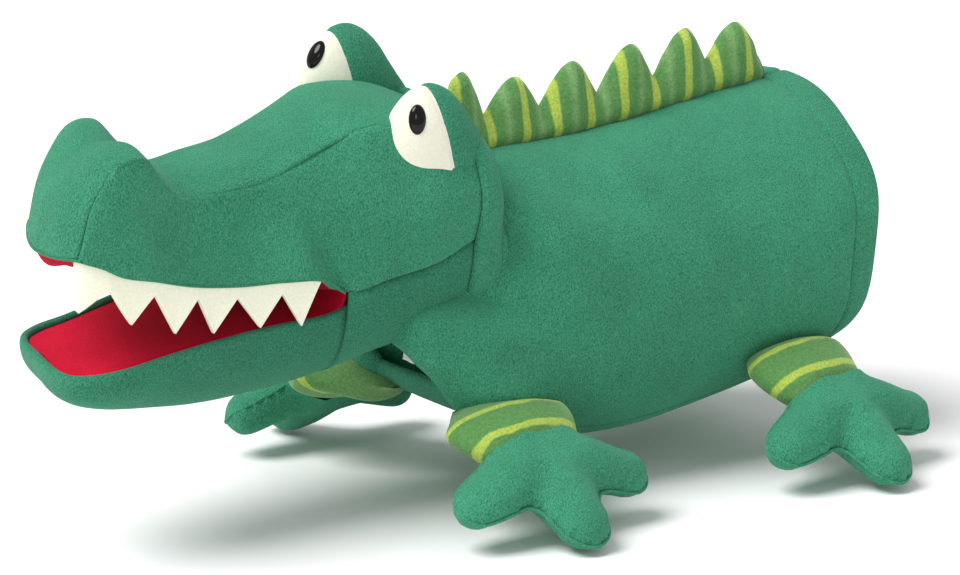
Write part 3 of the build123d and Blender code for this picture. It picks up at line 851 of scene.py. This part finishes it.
def make_throat():
    seam = lengthwise[0]
    seam = seam[seam[:, 0] <= THROAT_FRONT]
    seam = seam[np.linspace(0, len(seam) - 1, THROAT_COLS).round().astype(int)]
    grid = np.array([throat_section(*seam.T, v) for v in np.linspace(0.0, 1.0, THROAT_ROWS)])
    normals = normals_facing(grid, THROAT_ROWS // 2, THROAT_COLS // 2, (0, 0, -1))
    dip = seam_fall(THROAT_ROWS, [0, THROAT_ROWS - 1], 1.0)
    grid = grid + normals * (0.7 * soft_noise(grid, 26.0, 6.0) - dip)[..., None]
    # the throat uses the darker copy of the green, which is painted shade under the head
    piece = panel(
        "throat_plush", lean_head(grid), (0, 0, -1), HEAD_SKIN, SHADED_CHIN_GREEN, None, ("throat_panel",),
    )
    spot(34.0, 0, 90)
    spot(64.0, 0, 90)
    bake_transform(piece)
    return grid


throat = make_throat()
BACK_ROWS = 14
BACK_RING_X = -9.0
BACK_CENTRE = np.array([0.0, 0.0, 128.0])


def make_head_back():
    """From the seam behind the cheeks, round the back of the head to the neck."""
    right = (side_left[:, 0] * MIRROR)[::-1]
    under = throat[:, 0][::-1]
    loop = np.concatenate([side_left[:-1, 0], gusset[:-1, 0], right[:-1], under[:-1]])
    wide, tall = NECK_RING
    angles = np.arctan2(loop[:, 1] / wide, (loop[:, 2] - NECK[2]) / tall)
    ring = xyz(BACK_RING_X, (wide - 1) * np.sin(angles), NECK[2] + (tall - 1) * np.cos(angles))
    swell = (loop - BACK_CENTRE) * np.array([0, 1, 1])
    swell /= np.linalg.norm(swell, axis=1, keepdims=True)
    knee = loop + np.array([-17.0, 0, 0]) + swell * 1.0
    t = np.linspace(0.0, 1.0, BACK_ROWS)[:, None, None]
    grid = (1 - t) ** 2 * loop + 2 * t * (1 - t) * knee + t * t * ring
    grid[0] += swell * -0.9
    grid[1] += swell * 0.5
    piece = tube("head_back_plush", lean_head(grid), HEAD_SKIN, GREEN, None, ("head_back",))
    spot(-10.0, 0, 111)
    spot(2.0, 0, 111)
    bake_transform(piece)


make_head_back()

# ---------------------------------------------------------------- neck

NECK_SKIN = 1.2
NECK_SWELL = 2.0         # how far a fold stands out in its middle


def neck_fold(name, x0, x1, nodes):
    """A fold of the neck's fabric at one of the head's turns: a ring that swells out in its middle."""
    phi = around(96)
    rows = []
    for t in np.linspace(0.0, 1.0, 9):
        wide, tall = (size + NECK_SWELL * math.sin(math.pi * t) for size in NECK_RING)
        rows.append(xyz(x0 + (x1 - x0) * t, wide * np.sin(phi), NECK[2] + tall * np.cos(phi)))
    piece = tube(name, np.array(rows), NECK_SKIN, GREEN, None, nodes)
    spot(x0, 0, 111)
    spot(x1, 0, 111)
    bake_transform(piece)


neck_fold("neck_fold_turn", -18.5, -14.5, ("neck_sleeve",))
neck_fold("neck_fold_nod", -14.5, -9.0, ())

# ---------------------------------------------------------------- lower jaw

# Left edge of the lower mouth, from the hinge to the middle of its front, and the keel under it
JAW_LIP = [
    (60, 38.5, 102.6), (70, 38.4, 99.6), (85, 38.1, 98.6), (103, 37.8, 97.6), (130, 37.0, 94.6),
    (147, 36.2, 92.2), (164, 35.2, 89.6), (177, 32.8, 88.6), (186, 27.5, 88.2), (190, 19.5, 88.4),
    (191.5, 9, 89), (191.5, 0, 89.2),
]
JAW_BOTTOM = [
    (58, 67.5), (75, 64.2), (97, 62.0), (121, 62.4), (145, 65.4), (165, 70.5), (180, 76.0), (191, 80.5),
]
JAW_RIM = 4.2
JAW_RIM_RISE = 2.2
JAW_ROWS = 26
TONGUE_SKIN = 1.4
TONGUE_STITCH = 0.45     # its stitch's radius
FOLD_SKIN = 1.0


def make_jaw():
    outline = spline_through(with_mirror(JAW_LIP), 190)
    top = rim_rows(outline, JAW_RIM_RISE, JAW_RIM, 8)[::-1]
    keel_x = np.minimum(outline[:, 0], 118.0 + (outline[:, 0] - 118.0) * 0.72)
    bottom = through(JAW_BOTTOM, keel_x)
    rows = list(top[:-1])
    for v in np.linspace(0.0, 1.0, JAW_ROWS):
        angle = math.pi / 2 * v
        out = math.cos(angle) ** 0.72 * (1 + 0.05 * math.sin(2 * angle))
        x = keel_x + (outline[:, 0] - keel_x) * (math.cos(angle) ** 0.8)
        z = outline[:, 2] - (outline[:, 2] - bottom) * math.sin(angle) ** 1.05
        rows.append(xyz(x, outline[:, 1] * out, z))
    grid = np.array(rows)
    normals = normals_facing(grid, len(top) + 6, 30, (0, 1, 0))
    fade = np.concatenate([np.linspace(0, 1, len(top) - 1) ** 2, np.ones(JAW_ROWS)])
    fade[-1] = 0
    grid = grid + normals * (0.75 * soft_noise(grid, 24.0, 7.0) * fade[:, None])[..., None]
    chin_nodes = ("chin_panel", "jaw_stuffing")
    # the chin uses the darker copy of the green, which is painted shade under the jaw
    chin = panel("chin_plush", lean_head(grid), (0, 0, 0), HEAD_SKIN, SHADED_CHIN_GREEN, "lower_jaw", chin_nodes)
    sheet = lean_head(lining_sheet(inset_outline(outline, JAW_RIM - 0.3), 0.6))
    tongue_nodes = ("tongue_lining", "lower_mouth_board", "thumb_pocket")
    panel("tongue_velour", sheet, (0, 0, 1), TONGUE_SKIN, RED, "lower_jaw", tongue_nodes)
    seam = lean_head(inset_outline(outline, JAW_RIM - 0.1)) + np.array([0, 0, 0.25])
    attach(thread_line("tongue_seam_stitch", seam, TONGUE_STITCH), "lower_jaw")


make_jaw()


def make_mouth_fold():
    """The red lining folding from the palate down to the tongue at the back of the mouth."""
    y = np.linspace(-36.0, 36.0, 40)
    t = np.linspace(0.0, 1.0, 12)[:, None]
    grid = xyz(68.0 - 5.5 * np.sin(math.pi * t), y, 117.5 - 17.5 * t)
    piece = panel("mouth_fold_velour", lean_head(grid), (1, 0, 0), FOLD_SKIN, RED, None, ("mouth_fold",))
    spot(64.0, 0, 112.5)
    spot(64.0, 0, 102.5)
    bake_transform(piece)


make_mouth_fold()

# ---------------------------------------------------------------- care label

LABEL_PLACE = (11.0, 10.0, 71.0)     # its upper edge, sewn to the chest
LABEL_SIZE = (9.0, 9.0)
LABEL_SKIN = 0.5


def make_label():
    """A small blank tape label hanging from the chest."""
    wide = np.linspace(-0.5, 0.5, 8)
    t = np.linspace(0.0, 1.0, 8)[:, None]
    x = LABEL_PLACE[0] + 3.0 * np.sin(1.4 * t) + 0.4 * np.sin(5 * wide)
    grid = xyz(x, LABEL_PLACE[1] + LABEL_SIZE[0] * wide, LABEL_PLACE[2] - LABEL_SIZE[1] * t)
    panel("care_label_tape", grid, (1, 0, 0), LABEL_SKIN, SATIN, "body", ("care_label",))


make_label()

# ---------------------------------------------------------------- eyes

EYE_PIVOT = np.array([14.0, 28.0, 150.0])
EYE_HALF_WIDE = 15.5
# the bump's outline from the side: degrees above straight ahead, and reach from the pivot
EYE_OUTLINE = [
    (-40, 24.0), (-10, 27.0), (15, 30.0), (32, 35.0), (45, 39.0), (56, 42.0), (68, 44.0), (78, 43.5),
    (88, 40.0), (97, 35.5), (112, 29.0), (130, 25.5), (150, 25.0), (180, 27.5), (210, 26.0),
]
EYE_SEAM = (21.0, 175.0, 0.24)       # x and z of a point on the seam, and how it leans forward as it rises
# how far the right eye is sewn from the left one's mirror image: forward, up, and its seam further forward
RIGHT_EYE = (4.5, 9.0, 6.0)
PUPIL_SIZE = (3.7, 6.3, 2.3)
PUPIL_SINK = 0.8
EYE_GROOVE = (0.9, 1.1)              # depth and half width of the seam over the bump
EYE_PLUSH_PROUD = 0.5                # how far the plush behind the seam stands above the felt
# degrees above straight ahead and place across the bump, where each pupil is sewn on
PUPIL_PLACE = {1: (58.0, 0.52), -1: (52.0, -0.12)}


def eye_shift(side):
    return np.array([RIGHT_EYE[0], 0.0, RIGHT_EYE[1]]) * (side < 0)


def eye_surface(degrees, across):
    """A point on the left eye bump: degrees over the top, across from -1 (inner) to 1 (outer)."""
    reach = through(EYE_OUTLINE, degrees)
    angle = np.radians(degrees)
    bow = np.sqrt(np.maximum(0.0, 1 - across ** 2)) ** 0.9
    x = EYE_PIVOT[0] + reach * bow * np.cos(angle)
    z = EYE_PIVOT[2] + reach * bow * np.sin(angle)
    y = EYE_PIVOT[1] + EYE_HALF_WIDE * across * (0.82 + 0.18 * reach / 44.0)
    return xyz(x, y, z)


def eye_grid(side):
    degrees = np.linspace(-40.0, 210.0, 110)[:, None]
    across = np.sin(np.linspace(-math.pi / 2, math.pi / 2, 60))[None, :]
    grid = eye_surface(degrees, across)
    seam_x, seam_z, tilt = EYE_SEAM
    seam_x += RIGHT_EYE[2] * (side < 0)
    from_seam = (grid[..., 0] - seam_x - tilt * (grid[..., 2] - seam_z)) / math.hypot(1, tilt)
    out = grid - EYE_PIVOT
    out /= np.linalg.norm(out, axis=-1, keepdims=True)
    grid = grid - out * (EYE_GROOVE[0] * hump(from_seam, 0.0, EYE_GROOVE[1]))[..., None]
    uneven = 0.3 * soft_noise(grid, 13.0, 8.0 + side)
    grid = grid + out * (EYE_PLUSH_PROUD * (from_seam < 0) + uneven)[..., None]
    grid[..., 1] *= side
    return grid + eye_shift(side)


def make_eye(side):
    """The felt front and the plush back of an eye: one bump, cut along its seam."""
    name = SIDE_NAMES[side]
    seam_x, seam_z, tilt = EYE_SEAM
    on_seam = np.array([seam_x + RIGHT_EYE[2] * (side < 0), 0.0, seam_z]) + eye_shift(side)
    seam_point = lean_head(on_seam)
    ahead = lean_head(on_seam + np.array([1.0, 0.0, -tilt])) - seam_point
    bump = lean_head(eye_grid(side))
    front_nodes = (f"eye_white_{name}", f"eye_stuffing_{name}")
    for label, material, nodes, facing in (
        ("eye_white", EYE_CREAM, front_nodes, -1), ("eye_back", GREEN, (f"eye_back_{name}",), 1),
    ):
        piece = grid_piece(f"{label}_{name}_bump", bump)
        face_outward(piece)
        cut_away(piece, seam_point, ahead * facing)
        dress(piece, material, "head", nodes)


def make_pupil(side):
    """A moulded button, domed over an oval foot that is sunk a little into the felt."""
    name = SIDE_NAMES[side]
    up, out = PUPIL_PLACE[side]
    seat, above, beside = (eye_surface(up + a, out + b) for a, b in ((0, 0), (2.0, 0), (0, 0.05)))
    normal = np.cross(above - seat, beside - seat)
    normal *= np.sign(normal @ (seat - EYE_PIVOT)) / np.linalg.norm(normal)
    mirrored = np.array([1, side, 1])
    seat = seat * mirrored + eye_shift(side)
    normal = normal * mirrored
    upward = np.array([0, 0, 1.0]) - normal * normal[2]
    upward /= np.linalg.norm(upward)
    across = np.cross(upward, normal)
    half_wide, half_tall, proud = PUPIL_SIZE
    phi = around(40)
    rows = []
    for angle in np.linspace(0.0, math.pi / 2, 12):
        wide = np.outer(half_wide * math.cos(angle) * np.cos(phi), across)
        tall = np.outer(half_tall * math.cos(angle) * np.sin(phi), upward)
        rows.append(seat + wide + tall + normal * (proud * math.sin(angle) - PUPIL_SINK))
    leaned = lean_head(rows)
    face = normals_of(leaned, True)[5, 0]
    inward = np.dot(face, leaned[5, 0] - leaned[-1].mean(axis=0)) < 0
    piece = grid_piece(f"pupil_{name}_button", leaned, wrap=True, flip=bool(inward))
    dress(piece, BLACK, "head", (f"pupil_{name}",))


for side in (1, -1):
    make_eye(side)
    make_pupil(side)

# ---------------------------------------------------------------- crest

CREST_ENDS = (-187.5, -12.0)
SPIKE_PITCH = 30.0
REAR_SPIKE_X = -167.5
SPIKE_HEIGHTS = (27.0, 31.5, 32.0, 30.5, 28.5, 35.0)     # from the rear
VALLEY_HEIGHT = 13.5
CREST_HALF_THICK = 6.5
CREST_STITCH = (3.4, 0.15)    # its stitches, out from the middle and up from the back
CREST_HOOK = 2.2              # how far the tallest spikes' tips lean back
CREST_WAVE = 1.4              # how far the strip's edge waves to either side
CREST_SUNK = 2.5         # how far its foot is set into the back


def crest_height(x):
    """Height of the strip above the back: soft hooked spikes with narrow valleys."""
    phase = (x - REAR_SPIKE_X) / SPIKE_PITCH
    spike = np.round(phase)
    tall = np.array(SPIKE_HEIGHTS)[np.clip(spike.astype(int), 0, len(SPIKE_HEIGHTS) - 1)]
    rounded = np.maximum(np.cos(np.pi * (phase - spike)), 0.0) ** 1.1
    height = VALLEY_HEIGHT + (tall - VALLEY_HEIGHT) * rounded
    height = height * ease((x - CREST_ENDS[0]) / 9.0) ** 0.6 + 1.5
    return height * (0.35 + 0.65 * ease((CREST_ENDS[1] + 3.0 - x) / 4.0))


def crest_half(side, columns, back, tall):
    """One face of the stuffed strip, from its foot in the back up to its edge."""
    outline = np.stack([columns, back + tall], axis=-1)
    from_end = np.minimum(columns - CREST_ENDS[0], CREST_ENDS[1] - columns)
    rows = []
    for level in np.linspace(0.0, 1.0, 20) ** 0.85:
        z = back - CREST_SUNK + (tall + CREST_SUNK) * level
        points = np.stack([columns, z], axis=-1)
        away = np.linalg.norm(points[:, None] - outline, axis=-1).min(axis=1)
        away = np.minimum(away, np.maximum(from_end, 0.0))
        fat = np.where(away < 0.01, 0.0, CREST_HALF_THICK * (1 - np.exp(-away / 5.0)) + 0.6)
        foot = 0.55 + 0.45 * ease((z - back + 1.0) / 7.0)
        hooked = CREST_HOOK * (level * tall / 32.0) ** 2
        lean_over = CREST_WAVE * np.sin(columns / 21.0 + 1.0) * level
        rows.append(xyz(columns - hooked, side * fat * foot + lean_over, z))
    half = np.array(rows)
    half[1:-1, 1:-1, 1] += side * 0.5 * soft_noise(half, 8.0, 9.0)[1:-1, 1:-1]
    return half


def make_crest():
    columns = np.linspace(*CREST_ENDS, 240)
    back = through(column(SLEEVE, 2), columns)
    left, right = (crest_half(side, columns, back, crest_height(columns)) for side in (1, -1))
    piece = grid_piece("crest_strip", np.concatenate([left, right[-2::-1]]))
    edit_mesh(piece, lambda mesh: bmesh.ops.remove_doubles(mesh, verts=mesh.verts, dist=0.05 * MM))
    face_outward(piece)
    dress(piece, CREST_STRIPES, "body", ("dorsal_crest",))
    for side in (1, -1):
        line = xyz(columns, side * CREST_STITCH[0], back + CREST_STITCH[1])[4:-2]
        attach(thread_line(f"crest_stitch_{SIDE_NAMES[side]}", line, STITCH_RADIUS), "body")


make_crest()

# ---------------------------------------------------------------- legs and paws

# As in the part: hip, reach and drop to the ankle, sweep back in degrees, half widths
LEGS = {
    "front": {"x": -4.0, "hip": (56.0, 42.5), "reach": (22.0, 9.5), "sweep": 0.0, "half": (31.0, 24.0)},
    "rear": {"x": -157.0, "hip": (60.0, 47.0), "reach": (24.0, 13.5), "sweep": 7.0, "half": (28.0, 23.0)},
}
LEG_HALF_THICK = 11.0
HIDDEN_LENGTH = {"front": 36.0, "rear": 21.0}    # how far a leg runs on inside the body
INNER_DROP = {"front": 0.45, "rear": 0.35}   # how much a leg's hidden end sags, per mm inside the body
# Paw outline: bars from (outward, along the body) to another point, with a half width at each end
PAW_BARS = [
    ((-34.0, -10.0), (0.0, -9.0), 14.0, 14.5),
    ((-34.0, 10.0), (0.0, 9.0), 14.0, 14.5),
    ((6.0, -8.0), (6.0, 8.0), 18.0, 18.0),
    ((8.0, 0.0), (38.0, 0.0), 20.5, 14.0),
    ((6.0, 10.0), (14.5, 37.5), 17.5, 13.0),
    ((6.0, -10.0), (13.5, -39.5), 17.5, 13.0),
]
PAW_STEP = 2.4
PAW_REACH = ((52.0, 56.0), (58.0, 58.0))    # how far its net runs: inward and outward, and each way along
PAW_TILT = {"front": 36.5, "rear": 37.0}
PAW_SEAM = -5.0          # where the paw is sewn to the leg, outward from the ankle
EDGE_SEAM = (0.8, 0.4)   # the radius of the paw's pinched edge, and how far out it lies
ANKLE_PINCH = 2.4
FLOOR_GAP = 0.2          # what is flattened by the floor stays this far above it


WEB_SOFTNESS = 1.6       # how soft the webs between the toes are
PUFF_REACH = 19.0        # the paw is fully stuffed this far in from its edge
PUFF_HEIGHT = 10.6


def paw_distance(u, v):
    """Distance into the paw's outline, with softened webs between the toes."""
    total = 0.0
    for (ax, ay), (bx, by), start_radius, end_radius in PAW_BARS:
        dx, dy = bx - ax, by - ay
        t = np.clip(((u - ax) * dx + (v - ay) * dy) / (dx * dx + dy * dy), 0, 1)
        away = start_radius + (end_radius - start_radius) * t - np.hypot(u - ax - t * dx, v - ay - t * dy)
        total = total + np.exp(away / WEB_SOFTNESS)
    return WEB_SOFTNESS * np.log(total)


def snap_to_outline(flat, edge):
    """Moves the edge points of a flat net onto the outline, by its slope."""
    for _ in range(6):
        u, v = flat[edge].T
        d = paw_distance(u, v)
        gu = paw_distance(u + 0.1, v) - d
        gv = paw_distance(u, v + 0.1) - d
        size = np.maximum(np.hypot(gu, gv), 1e-6)
        flat[edge, 0] -= gu / size * d
        flat[edge, 1] -= gv / size * d


def paw_cushion():
    """A closed flat cushion inside the paw's outline: points, faces, and its edge points in order."""
    us, vs = (np.arange(-low, high + PAW_STEP, PAW_STEP) for low, high in PAW_REACH)
    u, v = np.meshgrid(us, vs, indexing="ij")
    inside = paw_distance(u, v) > 0.25 * PAW_STEP
    cell = inside[:-1, :-1] & inside[1:, :-1] & inside[:-1, 1:] & inside[1:, 1:]
    used = np.zeros(u.shape, dtype=bool)
    for i, j in ((0, 0), (1, 0), (0, 1), (1, 1)):
        used[i:i + cell.shape[0], j:j + cell.shape[1]] |= cell
    number = -np.ones(u.shape, dtype=int)
    number[used] = np.arange(used.sum())
    flat = np.stack([u[used], v[used]], axis=-1)
    quads = []
    sides = {}
    for i, j in zip(*np.nonzero(cell)):
        quad = (number[i, j], number[i + 1, j], number[i + 1, j + 1], number[i, j + 1])
        quads.append(quad)
        for a, b in zip(quad, quad[1:] + quad[:1]):
            sides[frozenset((a, b))] = sides.get(frozenset((a, b)), 0) + 1
    open_sides = [tuple(key) for key, count in sides.items() if count == 1]
    edge = sorted({n for pair in open_sides for n in pair})
    neighbours = {n: [] for n in edge}
    for a, b in open_sides:
        neighbours[a].append(b)
        neighbours[b].append(a)
    snap_to_outline(flat, edge)
    for _ in range(14):
        flat[edge] = [0.5 * flat[n] + 0.5 * flat[neighbours[n]].mean(axis=0) for n in edge]
    deep = np.clip(paw_distance(flat[:, 0], flat[:, 1]) / PUFF_REACH, 0.0, 1.0)
    height = PUFF_HEIGHT * (1 - (1 - deep) ** 2.2) ** 0.62
    inner = np.ones(len(flat), dtype=bool)
    inner[edge] = False
    height[edge] = 0.0
    under = np.arange(len(flat))
    under[inner] = len(flat) + np.arange(inner.sum())
    top = np.column_stack([flat, height])
    bottom = top[inner] * (1, 1, -1)
    faces = quads + [tuple(under[k] for k in quad[::-1]) for quad in quads]
    rim = [edge[0]]
    while len(rim) < len(edge):
        rim.append([n for n in neighbours[rim[-1]] if n not in rim[-2:]][0])
    return np.concatenate([top, bottom]), faces, rim


def leg_frame(end, side):
    """Hip and ankle places, and the outward and forward directions of a leg."""
    leg = LEGS[end]
    sweep = math.radians(leg["sweep"])
    away = np.array([-math.sin(sweep), side * math.cos(sweep), 0.0])
    along = np.array([math.cos(sweep), side * math.sin(sweep), 0.0])
    hip = np.array([leg["x"], side * leg["hip"][0], leg["hip"][1]])
    ankle = hip + away * leg["reach"][0] - np.array([0, 0, leg["reach"][1]])
    return hip, ankle, away, along


CLOTH = {
    "quality": 4, "mass": 0.2, "tension_stiffness": 25, "compression_stiffness": 25, "shear_stiffness": 12,
    "bending_stiffness": 0.4, "use_pressure": True, "uniform_pressure_force": 4.0,
}
CLOTH_FRAMES = 20
PAW_GIVE = 2.2           # how far the pressure may move any point of a paw


def inflate(piece):
    """Blows a closed piece up with cloth pressure, and keeps the result within PAW_GIVE of its start."""
    rest = points_of(piece)
    cloth = piece.modifiers.new("cloth", "CLOTH")
    for setting, value in CLOTH.items():
        setattr(cloth.settings, setting, value)
    cloth.settings.effector_weights.gravity = 0.0
    cloth.collision_settings.use_collision = False
    cloth.collision_settings.use_self_collision = False
    cloth.point_cache.frame_start = 1
    cloth.point_cache.frame_end = CLOTH_FRAMES
    scene = bpy.context.scene
    for frame_number in range(1, CLOTH_FRAMES + 1):
        scene.frame_set(frame_number)
    apply_modifiers(piece)
    scene.frame_set(1)
    move = points_of(piece) - rest
    size = np.linalg.norm(move, axis=1, keepdims=True)
    move_points(piece, rest + move * np.minimum(1.0, PAW_GIVE * MM / np.maximum(size, 1e-9)))


def make_paw(end, side):
    """A stuffed paw with its pinched edge seam, cut off where it is sewn to the leg."""
    name = f"{end}_{SIDE_NAMES[side]}"
    _, ankle, away, along = leg_frame(end, side)
    tilt = math.radians(PAW_TILT[end])
    out = away * math.cos(tilt) - np.array([0, 0, math.sin(tilt)])
    up = away * math.sin(tilt) + np.array([0, 0, math.cos(tilt)])
    points, faces, rim = paw_cushion()
    toes_up = 2.0 * ease((points[:, 0] - 14.0) / 34.0)
    sides_down = 6.0 * ease((np.abs(points[:, 1]) - 16.0) / 30.0)
    points[:, 2] += toes_up - sides_down
    placed = ankle + points[:, :1] * out + points[:, 1:2] * along + points[:, 2:] * up
    piece = make_mesh(f"paw_{name}_plush", placed, faces)
    face_outward(piece)
    inflate(piece)
    smooth = piece.modifiers.new("smooth", "SUBSURF")
    smooth.levels = 1
    smooth.render_levels = 1
    apply_modifiers(piece)
    settled = points_of(piece)
    settled[:, 2] = np.maximum(settled[:, 2], FLOOR_GAP * MM)
    move_points(piece, settled)
    loop = settled[rim]
    cut_away(piece, ankle + out * PAW_SEAM, -out)
    dress(piece, PAW_GREEN, None, (f"paw_top_{name}", f"paw_sole_{name}", f"paw_stuffing_{name}"))
    for _ in range(4):
        loop = 0.5 * loop + 0.25 * (np.roll(loop, 1, axis=0) + np.roll(loop, -1, axis=0))
    seam = loop[(loop - place(ankle)) @ out > (PAW_SEAM + 1.0) * MM] / MM - np.array([OFFSET_X, 0, 0])
    stitch = thread_line(f"paw_{name}_edge_seam", seam + out * EDGE_SEAM[1], EDGE_SEAM[0], PAW_GREEN)
    start, end_at = spot(*(ankle - out * 4.0)), spot(*(ankle + out * 8.0))
    for item in (piece, stitch):
        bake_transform(item)


def make_leg_sleeve(end, side):
    """A leg's striped sleeve, from its flattened end inside the body to the ankle's seam."""
    name = f"{end}_{SIDE_NAMES[side]}"
    hip_half, ankle_half = LEGS[end]["half"]
    hidden = HIDDEN_LENGTH[end]
    hip, ankle, _, along = leg_frame(end, side)
    length = np.linalg.norm(ankle - hip)
    axis = (ankle - hip) / length
    up = np.cross(along, axis) * side
    up *= np.sign(up[2])
    phi = around(72)[:, None]
    distances = np.linspace(-hidden, length + 1.0, 38)
    d = distances[:, None, None]
    t = np.clip(d / length, 0.0, 1.0)
    half = (hip_half + (ankle_half - hip_half) * ease(t)) * (1 + 0.024 * np.minimum(d, 0.0))
    thick = LEG_HALF_THICK * (1 - 0.12 * ease(t)) * (1 + 0.06 * np.sin(math.pi * t))
    thick = thick * (1 - 0.97 * ease((20.0 - hidden - d) / 20.0))
    middle = hip + axis * d
    grid = middle + np.sin(phi) * half * along + np.cos(phi) * thick * up
    grid[..., 2] -= INNER_DROP[end] * np.maximum(-distances, 0.0)[:, None]
    outward = grid - middle
    outward /= np.linalg.norm(outward, axis=-1, keepdims=True)
    grid = grid + outward * (0.8 * soft_noise(grid, 15.0, 10.0 + side))[..., None]
    grid = grid - outward * (ANKLE_PINCH * hump(d, length - 2.0, 5.0))
    piece = grid_piece(f"leg_sleeve_{name}_velour", grid, wrap=True)
    face_outward(piece)
    attribute = piece.data.attributes.new("along", "FLOAT", "POINT")
    attribute.data.foreach_set("value", np.repeat(distances, len(phi)).astype(np.float32))
    dress(piece, LEG_STRIPES, None, (f"leg_sleeve_{name}", f"leg_stuffing_{name}"))
    start, end_at = spot(*(hip - axis * 6.0)), spot(*(hip + axis * 8.0))
    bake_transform(piece)


for end in LEGS:
    for side in (1, -1):
        make_leg_sleeve(end, side)
        make_paw(end, side)

# ---------------------------------------------------------------- carried-over CAD nodes

for node in ("body_lining", "neck_lining", "finger_pocket"):
    dress(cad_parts[node], LINING)
for node in ("eye_washer_left", "eye_washer_right"):
    dress(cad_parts[node], WASHER)

# ---------------------------------------------------------------- stage, lights and camera

CAMERA_AZIMUTH = 145.0
CAMERA_ELEVATION = 14.5
CAMERA_DISTANCE = 1.9
CAMERA_LENS = 167.44
AIM = (28.2, 10.4)      # millimetres right of and above the puppet's middle, as the camera sees it
AIM_HEIGHT = 0.08
FLOOR_REACH = 6
WORLD_LIGHT = 0.56
# name, kind, strength, softness (metres across, or degrees for the sun-like one) and place
LAMPS = [
    ("key_light", "SUN", 2.95, 34.0, (1.15, -0.10, 1.75)),
    ("fill_softbox", "AREA", 2.2, 0.5, (1.0, 1.5, 0.95)),
]


def look_at(item, start, aim):
    item.location = start
    item.rotation_euler = (Vector(aim) - Vector(start)).to_track_quat("-Z", "Y").to_euler()


def make_floor():
    mesh = bpy.data.meshes.new("floor")
    corners = [(x * FLOOR_REACH, y * FLOOR_REACH, 0) for x, y in ((-1, -1), (1, -1), (1, 1), (-1, 1))]
    mesh.from_pydata(corners, [], [(0, 1, 2, 3)])
    floor = add_object("floor", mesh)
    paper = Surface("floor_paper")
    floor.data.materials.append(paper.finish((0.96, 0.96, 0.96, 1.0), 0.9, 0.0, []))


def make_light(name, kind, energy, size, place_at):
    data = bpy.data.lights.new(name, kind)
    data.energy = energy
    if kind == "AREA":
        data.shape = "DISK"
        data.size = size
    else:
        data.angle = math.radians(size)
    look_at(add_object(name, data), place_at, (0.0, 0.0, AIM_HEIGHT))


def make_camera():
    azimuth = math.radians(CAMERA_AZIMUTH)
    elevation = math.radians(CAMERA_ELEVATION)
    level = math.cos(elevation)
    back = Vector((math.sin(azimuth) * level, -math.cos(azimuth) * level, math.sin(elevation)))
    middle = Vector((spot(4.0, 0, 0)[0], 0.0, AIM_HEIGHT))
    right = (-back).cross(Vector((0, 0, 1))).normalized()
    upward = right.cross(-back)
    data = bpy.data.cameras.new("camera")
    data.lens = CAMERA_LENS
    data.sensor_width = 36.0
    camera = add_object("camera", data)
    look_at(camera, middle + back * CAMERA_DISTANCE, middle + right * AIM[0] * MM + upward * AIM[1] * MM)
    bpy.context.scene.camera = camera


make_floor()
world = bpy.data.worlds.new("studio")
world.use_nodes = True
background = world.node_tree.nodes["Background"]
background.inputs["Color"].default_value = (1.0, 1.0, 1.0, 1.0)
background.inputs["Strength"].default_value = WORLD_LIGHT
bpy.context.scene.world = world
bpy.context.scene.view_settings.view_transform = "Standard"
for lamp in LAMPS:
    make_light(*lamp)
make_camera()
